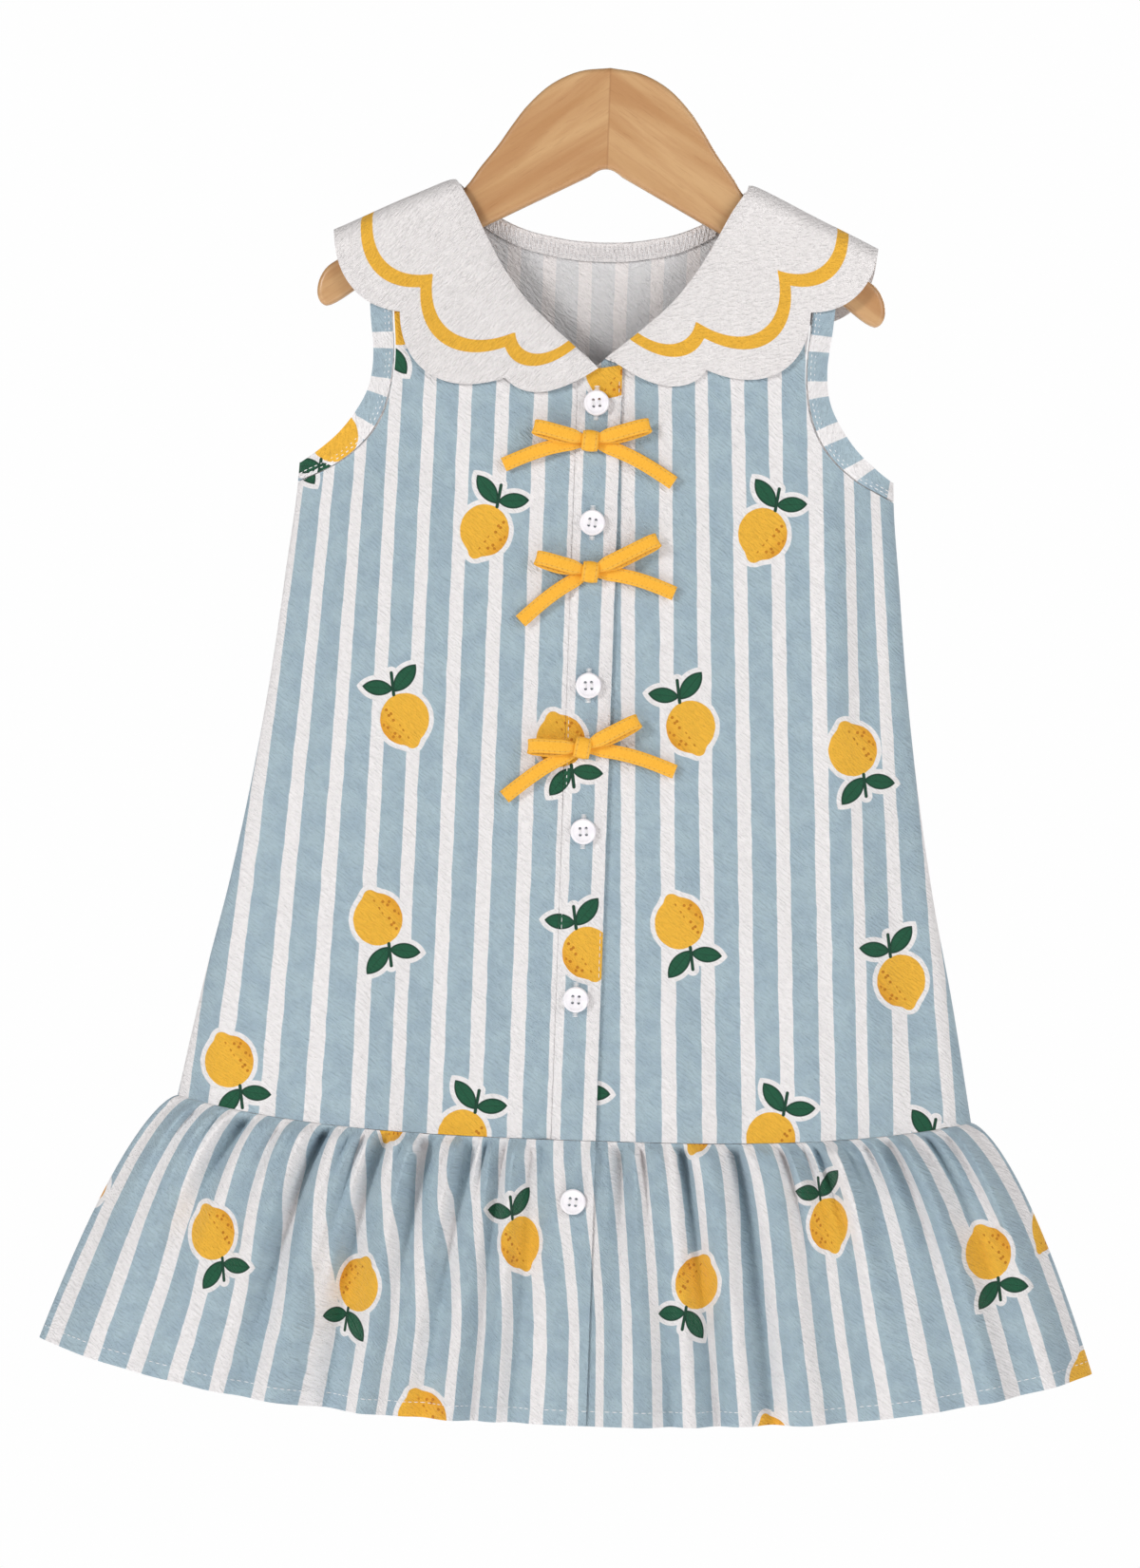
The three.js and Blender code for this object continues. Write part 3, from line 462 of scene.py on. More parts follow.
class Graph:
    """A material's node graph."""

    def __init__(self, name):
        self.material = bpy.data.materials.new(name)
        self.material.use_nodes = True
        self.nodes = self.material.node_tree.nodes
        self.links = self.material.node_tree.links
        self.bsdf = self.nodes["Principled BSDF"]

    def put(self, socket, value):
        if isinstance(value, bpy.types.NodeSocket):
            self.links.new(value, socket)
        elif value is not None:
            socket.default_value = value

    def node(self, kind, inputs=None, **settings):
        made = self.nodes.new("ShaderNode" + kind)
        for key, value in settings.items():
            setattr(made, key, value)
        for key, value in (inputs or {}).items():
            self.put(made.inputs[key], value)
        return made

    def math(self, operation, *values, clamp=False):
        made = self.node("Math", dict(enumerate(values)), operation=operation)
        made.use_clamp = clamp
        return made.outputs[0]

    def plus(self, a, b, clamp=False):
        return self.math("ADD", a, b, clamp=clamp)

    def minus(self, a, b):
        return self.math("SUBTRACT", a, b)

    def times(self, a, b):
        return self.math("MULTIPLY", a, b)

    def absolute(self, a):
        return self.math("ABSOLUTE", a)

    def parts(self, vector):
        """The three parts of a vector, as numbers."""
        return self.node("SeparateXYZ", {0: vector}).outputs[:3]

    def ramp(self, value, low, high, to_low=0.0, to_high=1.0):
        made = self.node("MapRange", {0: value, 1: low, 2: high, 3: to_low, 4: to_high})
        made.interpolation_type = "SMOOTHSTEP"
        return made.outputs[0]

    def mix(self, factor, a, b):
        made = self.node("Mix", data_type="RGBA")
        for socket, value in ((0, factor), (6, a), (7, b)):
            self.put(made.inputs[socket], value)
        return made.outputs[2]

    def shade(self, colour, value):
        """A colour made lighter or darker by a number near 1."""
        if not isinstance(colour, bpy.types.NodeSocket):
            colour = colour[:3]
        return self.node("VectorMath", {0: colour, 3: value}, operation="SCALE").outputs[0]

    def uv(self, name):
        return self.node("UVMap", uv_map=name).outputs[0]

    def noise(self, vector, scale, detail=2.0, roughness=0.5, distortion=0.0):
        made = self.node("TexNoise", {"Vector": vector, "Scale": scale, "Detail": detail,
                                      "Roughness": roughness, "Distortion": distortion})
        return made.outputs[0]

    def mapped(self, vector, turn=0.0, scale=(1, 1, 1), axis=2):
        rotation = [0.0, 0.0, 0.0]
        rotation[axis] = math.radians(turn)
        return self.node("Mapping", {"Vector": vector, "Rotation": rotation, "Scale": scale}).outputs[0]

    def bump(self, height, strength, distance):
        made = self.node("Bump", {"Height": height, "Strength": strength, "Distance": distance})
        self.put(self.bsdf.inputs["Normal"], made.outputs[0])

    def surface(self, **values):
        for key, value in values.items():
            self.put(self.bsdf.inputs[key.replace("_", " ")], value)
        return self.material


def rgb(red, green, blue):
    """A colour as seen on a screen, from 0 to 255, in the renderer's own linear values."""
    def linear(c):
        c /= 255
        return c / 12.92 if c <= 0.04045 else ((c + 0.055) / 1.055) ** 2.4
    return (linear(red), linear(green), linear(blue), 1.0)


BLUE = rgb(165, 185, 198)
BLUE_PALE = rgb(175, 195, 205)
WHITE = rgb(246, 242, 242)
LEMON = rgb(246, 186, 60)
LEMON_SHADE = rgb(234, 163, 42)
SPECKLE = rgb(206, 128, 26)
LEAF = rgb(27, 90, 62)
LEAF_EDGE = rgb(14, 62, 44)
COLLAR_WHITE = rgb(245, 240, 239)
# The back of the cloth: paler than the front as its print fades through, and paler still as painted light
# for the shaded inside of the dress.
WRONG_SIDE_FADE_AND_LIGHT = rgb(252, 245, 243)
TAPE_YELLOW, TAPE_PALE = rgb(240, 170, 34), rgb(247, 184, 50)
# The darker of the first pair is painted shade in the sunk rows of stitching on the tape; the paler is
# the stitches' thread.
TAPE_GROOVE_SHADE, TAPE_STITCH = rgb(206, 134, 20), rgb(250, 202, 92)
BUTTON_WHITE, BUTTON_GREY = rgb(250, 246, 249), rgb(241, 237, 242)
THREAD_WHITE, THREAD_GREY = rgb(252, 250, 250), rgb(236, 234, 235)
WOOD_BROWN, WOOD_PALE = rgb(186, 137, 90), rgb(207, 165, 117)
WOOD_RAY, WOOD_PORE, WOOD_JOINT = rgb(178, 124, 76), rgb(160, 108, 66), rgb(150, 100, 60)

# The lemon, in its own axes: leaves up, point at the lower left.
FRUIT = {"half_x": 11.9, "half_z": 12.6, "size": 12.2, "tip": (-4.3, -11.0), "tip_radius": 3.1,
         "blend": 3.4}
LEAVES = [
    {"x": 0.7, "z": 19.8, "turn": 127, "length": 17.2, "width": 8.2},
    {"x": 13.6, "z": 14.7, "turn": 4, "length": 15.2, "width": 7.6},
]
STEM = {"x": 5.7, "z": 11.5, "to_x": 7.3, "to_z": 22.1, "half": 0.8}
OUTLINE = 2.3  # width of the white line round fruit and leaves
TRIM_HALF = 2.8  # half the width of the collar's printed line
TRIM_INSIDE = 17.6  # its middle lies this far from the collar's edge at the back


def length_of(g, x, z):
    """Length of a line from 0 to (x, z)."""
    return g.math("SQRT", g.plus(g.times(x, x), g.times(z, z)))


def leaf_field(g, x, z, leaf):
    """Distance outside a pointed oval leaf, and the distance from its middle line."""
    turn = math.radians(leaf["turn"])
    dx = g.minus(x, leaf["x"])
    dz = g.minus(z, leaf["z"])
    along = g.plus(g.times(dx, math.cos(turn)), g.times(dz, math.sin(turn)))
    aside = g.minus(g.times(dz, math.cos(turn)), g.times(dx, math.sin(turn)))
    radius = (leaf["length"] ** 2 + leaf["width"] ** 2) / (4 * leaf["width"])
    away = g.plus(g.absolute(aside), radius - leaf["width"] / 2)
    return g.minus(length_of(g, along, away), radius), g.absolute(aside)


def lemon_print(g, ground, waver):
    """Paints the lemons over the ground colour."""
    x, z, _ = g.parts(g.uv("motif"))
    oval = length_of(g, g.math("DIVIDE", x, FRUIT["half_x"]), g.math("DIVIDE", z, FRUIT["half_z"]))
    body = g.times(g.minus(oval, 1.0), FRUIT["size"])
    tip = length_of(g, g.minus(x, FRUIT["tip"][0]), g.minus(z, FRUIT["tip"][1]))
    fruit = g.math("SMOOTH_MIN", body, g.minus(tip, FRUIT["tip_radius"]), FRUIT["blend"])
    fruit = g.plus(fruit, waver)
    first, first_rib = leaf_field(g, x, z, LEAVES[0])
    second, second_rib = leaf_field(g, x, z, LEAVES[1])
    run_x, run_z = STEM["to_x"] - STEM["x"], STEM["to_z"] - STEM["z"]
    reach2 = run_x ** 2 + run_z ** 2
    dx, dz = g.minus(x, STEM["x"]), g.minus(z, STEM["z"])
    dot = g.plus(g.times(dx, run_x / reach2), g.times(dz, run_z / reach2), clamp=True)
    stem = g.minus(length_of(
        g, g.minus(dx, g.times(dot, run_x)),
        g.minus(dz, g.times(dot, run_z))), STEM["half"])
    leaves = g.math("MINIMUM", g.math("MINIMUM", first, second), stem)
    rib = g.math("MINIMUM", first_rib, second_rib)
    every = g.math("MINIMUM", fruit, leaves)
    colour = g.mix(g.ramp(every, OUTLINE + 0.2, OUTLINE - 0.2), ground, WHITE)
    low_right = g.minus(g.times(x, 0.8), g.times(z, 0.6))
    skin = g.mix(g.ramp(low_right, 4.0, 13.0), LEMON, LEMON_SHADE)
    dots = g.node("TexVoronoi", {"Vector": g.uv("motif"), "Scale": 0.27, "Randomness": 0.8},
                  voronoi_dimensions="2D")
    crescent = g.times(g.ramp(low_right, 3.0, 3.6), g.ramp(fruit, -0.9, -1.4))
    spot = g.times(g.ramp(dots.outputs["Distance"], 0.23, 0.17), crescent)
    skin = g.mix(spot, skin, SPECKLE)
    colour = g.mix(g.ramp(fruit, 0.18, -0.18), colour, skin)
    green = g.mix(g.ramp(leaves, -1.3, -0.3), LEAF, LEAF_EDGE)
    green = g.mix(g.times(g.ramp(rib, 0.35, 0.15), 0.5), green, LEAF_EDGE)
    return g.mix(g.ramp(leaves, 0.15, -0.15), colour, green)


def crepe(g, flat, strength):
    """The crinkle of the cloth: fine ripples that run down to the right, with a pebbled grain."""
    ripples = g.noise(g.mapped(g.mapped(flat, 38), 0, (0.25, 0.92, 1)), 1.0, 2.0, 0.6, 0.25)
    pebbles = g.noise(flat, 1.0, 2.0, 0.6)
    weave = g.noise(g.mapped(flat, 0, (2.6, 2.2, 1)), 1.0, 0.0)
    height = g.plus(g.times(ripples, 0.75), g.times(pebbles, 0.35))
    height = g.plus(height, g.times(weave, 0.12))
    g.bump(height, strength, 0.0027)
    return height


def cotton(name, fade_and_light=0.0, striped=True, lemons=True, ground=WHITE, trim=False, strength=0.85):
    """Printed crepe cotton. A share for the wrong side fades the print as on the back of the cloth,
    towards a colour made paler still: painted light, as the inside lies in shade.
    """
    g = Graph(name)
    number, along, _ = g.parts(g.uv("cloth"))
    across = g.times(number, STRIPE)
    flat = g.node("CombineXYZ", {0: across, 1: along}).outputs[0]
    height = crepe(g, flat, strength)
    mottle = g.noise(flat, 0.09, 3.0, 0.6)
    colour = ground
    if striped:
        wobble = g.times(g.minus(g.noise(g.mapped(flat, 0, (0.4, 0.07, 1)), 1.0, 3.0), 0.5), 0.075)
        shift = g.math("FRACT", g.plus(g.plus(number, wobble), 0.5))
        away = g.absolute(g.minus(shift, 0.5))
        blue = g.mix(g.ramp(mottle, 0.35, 0.65), BLUE, BLUE_PALE)
        colour = g.mix(g.ramp(away, BLUE_HALF - 0.012, BLUE_HALF + 0.012), blue, ground)
    if lemons:
        waver = g.times(g.minus(g.noise(flat, 0.3, 1.0), 0.5), 0.5)
        colour = lemon_print(g, colour, waver)
    if trim:
        edge = g.parts(g.uv("trim"))[0]
        line = g.ramp(g.absolute(edge), TRIM_HALF + 0.15, TRIM_HALF - 0.15)
        colour = g.mix(line, colour, LEMON)
    # Towards the pale back of the cloth: the print's real fade, and painted light on the shaded inside.
    if fade_and_light:
        colour = g.mix(fade_and_light, colour, WRONG_SIDE_FADE_AND_LIGHT)
    # The crinkle's height also sets the colour: darker in its hollows and lighter on its crests, a
    # painted shade and highlight.
    colour = g.shade(colour, g.ramp(height, 0.38, 0.82, 0.93, 1.05))
    return g.surface(Base_Color=colour, Roughness=0.78, Sheen_Weight=0.12, Sheen_Roughness=0.45,
                     Specular_IOR_Level=0.35)


def tape_material():
    g = Graph("yellow_tape")
    flat = g.uv("cloth")
    u, v, _ = g.parts(flat)
    weave = g.times(g.math("SINE", g.times(v, 9.0)), g.math("SINE", g.times(u, 9.0)))
    grain = g.noise(g.mapped(flat, 30, (0.8, 1.8, 1)), 1.0, 3.0)
    row = g.ramp(g.absolute(g.minus(g.absolute(u), 2.4)), 0.4, 0.2)
    dash = g.ramp(g.math("FRACT", g.math("DIVIDE", v, 2.6)), 0.18, 0.3)
    stitch = g.times(row, dash)
    base = g.mix(g.ramp(grain, 0.3, 0.7), TAPE_YELLOW, TAPE_PALE)
    # Each sunk row of stitching is painted darker: painted shade in its groove.
    base = g.mix(g.times(row, 0.75), base, TAPE_GROOVE_SHADE)
    base = g.mix(g.times(stitch, 0.5), base, TAPE_STITCH)
    height = g.plus(g.times(weave, 0.08), g.times(grain, 0.5))
    height = g.plus(g.minus(height, g.times(row, 0.6)), g.times(stitch, 0.5))
    g.bump(height, 0.5, 0.0004)
    return g.surface(Base_Color=base, Roughness=0.62, Sheen_Weight=0.15, Sheen_Roughness=0.4)


def button_material():
    g = Graph("button_white")
    place = g.node("TexCoord").outputs["Object"]
    cloud = g.noise(place, 220, 3.0)
    colour = g.mix(g.ramp(cloud, 0.35, 0.7), BUTTON_WHITE, BUTTON_GREY)
    g.bump(g.noise(place, 900, 2.0), 0.08, 0.0002)
    return g.surface(Base_Color=colour, Roughness=g.ramp(cloud, 0.2, 0.8, 0.24, 0.36), Coat_Weight=0.25,
                     Coat_Roughness=0.12)


def thread_material(name, colour, darker):
    g = Graph(name)
    place = g.node("TexCoord").outputs["Object"]
    twist = g.noise(place, 2600, 2.0)
    g.bump(twist, 0.4, 0.0002)
    return g.surface(Base_Color=g.mix(twist, darker, colour), Roughness=0.7, Sheen_Weight=0.2)


def wood_material():
    """Pale hardwood. The grain runs along each arm and meets at a mitre in the middle."""
    g = Graph("hanger_wood")
    x, y, z = g.parts(g.node("TexCoord").outputs["Object"])
    side = g.math("SIGN", x)
    place = g.node("CombineXYZ", {0: g.absolute(x), 1: g.plus(y, g.times(side, 0.03)), 2: z})
    turned = g.mapped(place.outputs[0], -34, (1, 1, 1), axis=1)
    bands = g.noise(g.mapped(turned, 0, (9, 40, 75)), 1.0, 4.0, 0.55, 0.6)
    pores = g.noise(g.mapped(turned, 0, (90, 900, 1500)), 1.0, 2.0, 0.6)
    rays = g.noise(g.mapped(turned, 0, (14, 120, 260)), 1.0, 3.0, 0.6, 0.3)
    colour = g.mix(g.ramp(bands, 0.32, 0.68), WOOD_BROWN, WOOD_PALE)
    colour = g.mix(g.times(g.ramp(rays, 0.5, 0.72), 0.35), colour, WOOD_RAY)
    colour = g.mix(g.times(g.ramp(pores, 0.58, 0.72), 0.3), colour, WOOD_PORE)
    mitre = g.times(g.ramp(g.absolute(x), 0.0006, 0.0002), 0.35)
    colour = g.mix(mitre, colour, WOOD_JOINT)
    height = g.plus(g.times(rays, 0.3), g.times(pores, -0.5))
    g.bump(height, 0.12, 0.0004)
    return g.surface(Base_Color=colour, Roughness=g.ramp(rays, 0.3, 0.7, 0.36, 0.5), Coat_Weight=0.22,
                     Coat_Roughness=0.25)


def stage_material(name, brightness):
    g = Graph(name)
    place = g.node("TexCoord").outputs["Object"]
    tone = g.mix(g.noise(place, 2.0, 1.0), rgb(250, 250, 250), rgb(253, 253, 253))
    return g.surface(Base_Color=tone, Roughness=0.9, Emission_Color=(1, 1, 1, 1),
                     Emission_Strength=brightness)


striped = cotton("striped_cotton")
striped_inside = cotton("striped_cotton_inside", fade_and_light=0.74, lemons=False)
collar_cotton = cotton("collar_cotton", striped=False, lemons=False, ground=COLLAR_WHITE, trim=True,
                       strength=0.9)
collar_inside = cotton("collar_cotton_inside", striped=False, lemons=False, ground=COLLAR_WHITE)
tape = tape_material()
button_white = button_material()
thread_white = thread_material("thread_white", THREAD_WHITE, THREAD_GREY)
wood = wood_material()

# ------------------------------------------------------------ bodice


def crowd_out(share):
    """Moves evenly spaced points closer together towards the side."""
    return np.sin(share * math.pi / 2) * 0.66 + share * 0.34


def outer_edge(z):
    """Half-width of a panel: the side seam, and above it the armhole."""
    return np.where(z < ARMHOLE["inner_z"][-1], half_width(z), armhole_x(z)) - GAP / 2


def top_edge(x, neck):
    out = np.abs(x - NECK_CENTRE)
    return np.where(out < NECK_HALF, neck(out), ridge_z(x))


def level_between(low, high, level):
    """Height at a level: 0 to 1 rises to the yoke, and 1 to 2 turns over the hanger."""
    turn = YOKE * np.maximum(2 - level, 0) ** 1.5
    return np.where(level <= 1, lerp(low, high - YOKE, level), high - turn)


def panel(share, level, start, face):
    """Points of a panel; share is negative on the left half."""
    side = np.where(share < 0, -1, 1)
    across = crowd_out(np.abs(share))
    edge = level_between(seam_z(SEAM_HALF) + GAP / 2, ridge_z(SHOULDER_END), level)
    x = lerp(start, side * outer_edge(edge), across)
    low = seam_z(lerp(start, side * SEAM_HALF, across)) + GAP / 2
    high = top_edge(lerp(start, side * SHOULDER_END, across), front_neck if face < 0 else back_neck)
    z = level_between(low, high, level)
    return on_bodice(x, z, face)


def side_wrap(x, z):
    """How much longer the cloth is than its width across, where it turns round the side."""
    share = np.linspace(0, 1, 400)
    typical_half, typical_depth = 160, 21
    section = typical_depth * np.sqrt(1 - share ** SIDE_FLATNESS)
    length = np.concatenate([[0], np.cumsum(np.hypot(typical_half * np.diff(share), np.diff(section)))])
    extra = np.maximum(length - typical_half * share - 3, 0)
    return np.interp(np.abs(x) / half_width(z), share, extra)


LEVELS = np.concatenate([np.linspace(0, 1, 190), 1 + np.linspace(0, 1, 17)[1:]])[:, None]
OUT_FRONT, OUT_BACK = np.array([0, -1, 0]), np.array([0, 1, 0])


def striped_piece(node, grid, number, along, outwards, **more):
    """The sheet of striped cloth that takes the place of a node's solid."""
    piece = cloth(node + "_cloth", grid, number, along, outwards, [striped, striped_inside],
                  "striped_cotton", **more)
    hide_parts(node)
    return piece


def bodice_front(node, side, start, middles, first, lean, lemons):
    share = side * np.linspace(0, 1, 80)[None]
    grid = panel(share, LEVELS, start, -1)
    x, z = grid[..., 0], grid[..., 2]
    number = stripe_number(x, z, middles, first, lean) + side * side_wrap(x, z) / STRIPE
    return striped_piece(node, grid, number, z, OUT_FRONT, lemons=lemons)


left_front = bodice_front("bodice_front_left", -1, PLACKET_LEFT - GAP, LEFT_STRIPES, LEFT_FIRST,
                          LEFT_LEAN, LEFT_LEMONS)
right_front = bodice_front("bodice_front_right", 1, UNDERLAP, RIGHT_STRIPES, RIGHT_FIRST,
                           RIGHT_LEAN, RIGHT_LEMONS)

back_grid = panel(np.linspace(-1, 1, 150)[None], LEVELS, 0, 1)
BACK_STRIPE, BACK_FIRST = 17.6, -10
back_middles = np.arange(BACK_FIRST, 11) * BACK_STRIPE
back_x, back_z = back_grid[..., 0], back_grid[..., 2]
back_number = stripe_number(back_x, back_z, back_middles, BACK_FIRST, LEFT_LEAN) \
    + np.sign(back_x) * side_wrap(back_x, back_z) / STRIPE
bodice_back = striped_piece("bodice_back", back_grid, back_number, back_z, OUT_BACK,
                            lemons=BACK_LEMONS)

# The button strip: folded cloth, sewn down along its left side and free along its right edge.
STRIP_STRIPE = 17.1  # its one blue stripe lies 1 mm left of the middle
strip_x = np.linspace(PLACKET_LEFT, PLACKET_RIGHT, 14)[None]
strip_top = PLACKET_TOP + np.abs(strip_x) * 0.2
strip_z = lerp(seam_z(0) + GAP / 2, strip_top, np.linspace(0, 1, 190)[:, None])
strip_lift = lerp(0.12, LAYER, smoothstep(strip_x, PLACKET_LEFT, PLACKET_LEFT + 4))
strip_grid = on_bodice(strip_x + 0 * strip_z, strip_z, -1, strip_lift + 0.15 * np.sin(strip_z / 21))
placket = striped_piece("placket", strip_grid, (strip_x + 1.0) / STRIP_STRIPE + 0 * strip_z,
                        strip_z, OUT_FRONT, thick=1.0, lemons=LEFT_LEMONS)

# ------------------------------------------------------------ ruffle
RUFFLE_LEVEL = -613  # the height at which the middles of its blue stripes are listed
RUFFLE_STRIPES = np.array([
    -245.7, -225.5, -206.6, -187.5, -166.9, -149.1, -129.6, -102.5, -90.3, -77.2, -59.7, -46.6, -34.7,
    -21.6, -3.4, 11.3, 21.6, 36.1, 49.9, 64.4, 75.9, 90.4, 108.5, 124.4, 138, 156.8, 176.6, 195.2, 213.1,
    230.3, 243.2,
])
# Small pleats at the seam: length and height of each wave, and how far down it reaches.
GATHERS = table("wave height reach", [
    (6.4, 1.9, 0.17), (10.3, 3.1, 0.32), (17.7, 4.6, 0.62), (29, 5.2, 1.15),
])
FOLD_GROWTH = 1.45  # how much deeper the ruffle's folds are than the solids'
STRIPE_SWAY = 0.014  # share of a stripe that each millimetre of gather pulls it aside
RUFFLE_STRIPE = 15  # past the last listed stripes
SEAM_CALM = 0.85  # how much flatter the gathers are at the front opening


def folds_out(x, down, rows):
    out = 0
    for middle, half, height in zip(*rows.values()):
        away = (x - middle * lerp(0.8, 1, down)) / (half * lerp(0.7, 1, down))
        out = out + height * np.exp(-away * away)
    return out * FOLD_GROWTH * down ** 0.7


def gathers(across, down, seed):
    """Small pleats sewn in at the seam, which die out on their way down."""
    rng = random.Random(seed)
    place = across * SEAM_HALF
    place = place + 3.5 * np.sin(place / 31 + rng.random() * 6) \
        + 1.6 * np.sin(place / 11.3 + rng.random() * 6)
    out = 0
    for wave, height, reach in zip(*GATHERS.values()):
        ripple = np.sin(place * 2 * math.pi / wave + rng.random() * 6 + 1.2 * np.sin(place / 23 + wave))
        out = out + height * ripple * smoothstep(down, 0, 0.045) * np.exp(-(down / reach) ** 1.3)
    flat_at_opening = 1 - SEAM_CALM * np.exp(-((place - 1) / 17) ** 2)
    return out * flat_at_opening


def ruffle_half(down):
    return lerp(SEAM_HALF, HEM_HALF, down ** RUFFLE_FLARE)


def ruffle_points(across, down, face, rows, lift=0.0, seed=3):
    x = across * ruffle_half(down)
    hem = hem_z(across) - (BACK_HEM_DROP * (1 - across ** 4) if face > 0 else 0)
    z = lerp(seam_z(across * SEAM_HALF) - GAP / 2, hem, down)
    roundness = np.sqrt(np.maximum(1 - np.abs(across) ** SIDE_FLATNESS, 0))
    hang = lerp(full_depth(SEAM_Z), RUFFLE_HANG, down)
    calm = np.minimum(roundness * 1.6, 1)
    y = GAP + hang * roundness + (folds_out(x, down, rows) + gathers(across, down, seed)) * calm + lift
    return np.stack([x, face * y, z], -1)


def ruffle_number(across, down, middles):
    """Stripe count on the ruffle: as listed near the hem, evening out towards the seam."""
    places = middles / ruffle_half(np.array((RUFFLE_LEVEL - SEAM_Z) / (HEM_Z - SEAM_Z)))
    numbers = np.arange(len(middles))
    listed = np.interp(across, places, numbers)
    past = np.maximum(across - places[-1], 0) + np.minimum(across - places[0], 0)
    listed = listed + past * HEM_HALF / RUFFLE_STRIPE
    even = numbers[0] + (across - places[0]) / (places[-1] - places[0]) * (len(middles) - 1)
    return lerp(even, listed, smoothstep(down, -0.1, 0.75))


DOWNS = (np.linspace(0, 1, 96) ** 1.25)[:, None]


def ruffle_front(node, side):
    opening = PLACKET_RIGHT if side < 0 else UNDERLAP
    start = opening / ruffle_half(DOWNS)
    across = lerp(start, side, crowd_out(np.linspace(0, 1, 300))[None])
    lift = LAYER * smoothstep(across * ruffle_half(DOWNS), -26, -11) if side < 0 else 0.0
    grid = ruffle_points(across, DOWNS, -1, FRONT_FOLDS, lift)
    number = ruffle_number(across, DOWNS, RUFFLE_STRIPES) + STRIPE_SWAY * gathers(across, DOWNS, 3)
    return striped_piece(node, grid, number, grid[..., 2], OUT_FRONT, lemons=RUFFLE_LEMONS), grid


left_ruffle, left_ruffle_grid = ruffle_front("ruffle_front_left", -1)
right_ruffle, right_ruffle_grid = ruffle_front("ruffle_front_right", 1)
back_share = np.linspace(-1, 1, 320)
back_across = (np.sign(back_share) * crowd_out(np.abs(back_share)))[None] + 0 * DOWNS
back_ruffle_grid = ruffle_points(back_across, DOWNS, 1, BACK_FOLDS, seed=8)
back_ruffle_number = ruffle_number(back_across, DOWNS, np.linspace(-246, 246, 31))
back_ruffle = striped_piece("ruffle_back", back_ruffle_grid, back_ruffle_number,
                            back_ruffle_grid[..., 2], OUT_BACK, lemons=BACK_RUFFLE_LEMONS)

# ------------------------------------------------------------ collar


def lay_out(x, z, face):
    """Distance from the ridge over the cloth, to the back above 0 and to the front below it."""
    quarter = RIDGE_RADIUS * (math.pi / 2 - 1)
    return -face * (np.maximum(ridge_z(x) - z, 0) + quarter)


def on_shoulder(x, over, lift):
    """Points at a distance over the ridge, as lay_out measures it, lifted off the cloth."""
    angle = np.minimum(np.abs(over) / RIDGE_RADIUS, math.pi / 2)
    past = np.maximum(np.abs(over) - RIDGE_RADIUS * math.pi / 2, 0)
    z = ridge_z(x) - (RIDGE_RADIUS * (1 - np.cos(angle)) + past)
    side = -np.sign(over)
    point = np.stack([x, side * depth(x, z), z], -1)
    out = np.stack([0 * x, side * np.sin(angle), np.cos(angle)], -1)
    return point + out * np.asarray(lift)[..., None]


def neck_seam(turn, side):
    """A point of the neck edge, laid out flat; turn is 0 at centre front and 1 at the back."""
    out = NECK_HALF * math.sin(math.pi * turn)
    face = -1 if turn <= 0.5 else 1
    x = NECK_CENTRE + side * out
    z = float((front_neck if face < 0 else back_neck)(out))
    near_ridge = max(1 - abs(turn - 0.5) / 0.04, 0)
    return np.array([x, float(lay_out(x, z, face)) * (1 - near_ridge)])


def arc_through(a, b, sag):
    """Centre and radius of the arc that bulges by sag outside the line from a to b."""
    chord = np.linalg.norm(b - a)
    radius = (chord ** 2 / 4 + sag ** 2) / (2 * sag)
    outwards = np.array([b[1] - a[1], a[0] - b[0]]) / chord
    if outwards[0] * (a[0] + b[0]) < 0:
        outwards = -outwards
    return (a + b) / 2 - outwards * (radius - sag), radius, outwards


def scallop_ends(side):
    name = "left" if side < 0 else "right"
    ends = []
    for k in range(len(SCALLOPS["turn"])):
        x, z = SCALLOPS[name + "_x"][k], SCALLOPS[name + "_z"][k]
        ends.append(np.array([x, float(lay_out(x, z, -1 if k < 3 else 1))]))
    return ends


def collar_half(side, arcs):
    """Pairs of inner and outer points from centre front towards the back."""
    ends, pairs = scallop_ends(side), []
    for k, steps in enumerate((44, 56, 130, 48)):
        a, b = ends[k], ends[k + 1]
        centre, radius, outwards = arc_through(a, b, SCALLOPS["sag"][k])
        arcs.append((centre, radius))
        half = math.asin(min(np.linalg.norm(b - a) / (2 * radius), 1))
        chord = (b - a) / np.linalg.norm(b - a)
        for n in range(steps):
            angle = lerp(-half, half, n / steps)
            outer = centre + radius * (math.sin(angle) * chord + math.cos(angle) * outwards)
            turn = lerp(SCALLOPS["turn"][k], SCALLOPS["turn"][k + 1], n / steps)
            pairs.append((neck_seam(turn, side), outer))
    return pairs


def collar_pairs():
    arcs = []
    left, right = collar_half(-1, arcs), collar_half(1, arcs)
    a, b = scallop_ends(-1)[4], scallop_ends(1)[4]
    sag, last_turn = SCALLOPS["sag"][4], SCALLOPS["turn"][4]
    radius = (np.linalg.norm(b - a) ** 2 / 4 + sag ** 2) / (2 * sag)
    arcs.append(((a + b) / 2 + np.array([0, radius - sag]), radius))
    middle = []
    for u in np.linspace(0, 1, 60):
        outer = np.array([lerp(a[0], b[0], u), a[1] - sag * math.sin(math.pi * u)])
        middle.append((neck_seam(1 - (1 - last_turn) * abs(1 - 2 * u), -1 if u < 0.5 else 1), outer))
    return left + middle + right[::-1], arcs


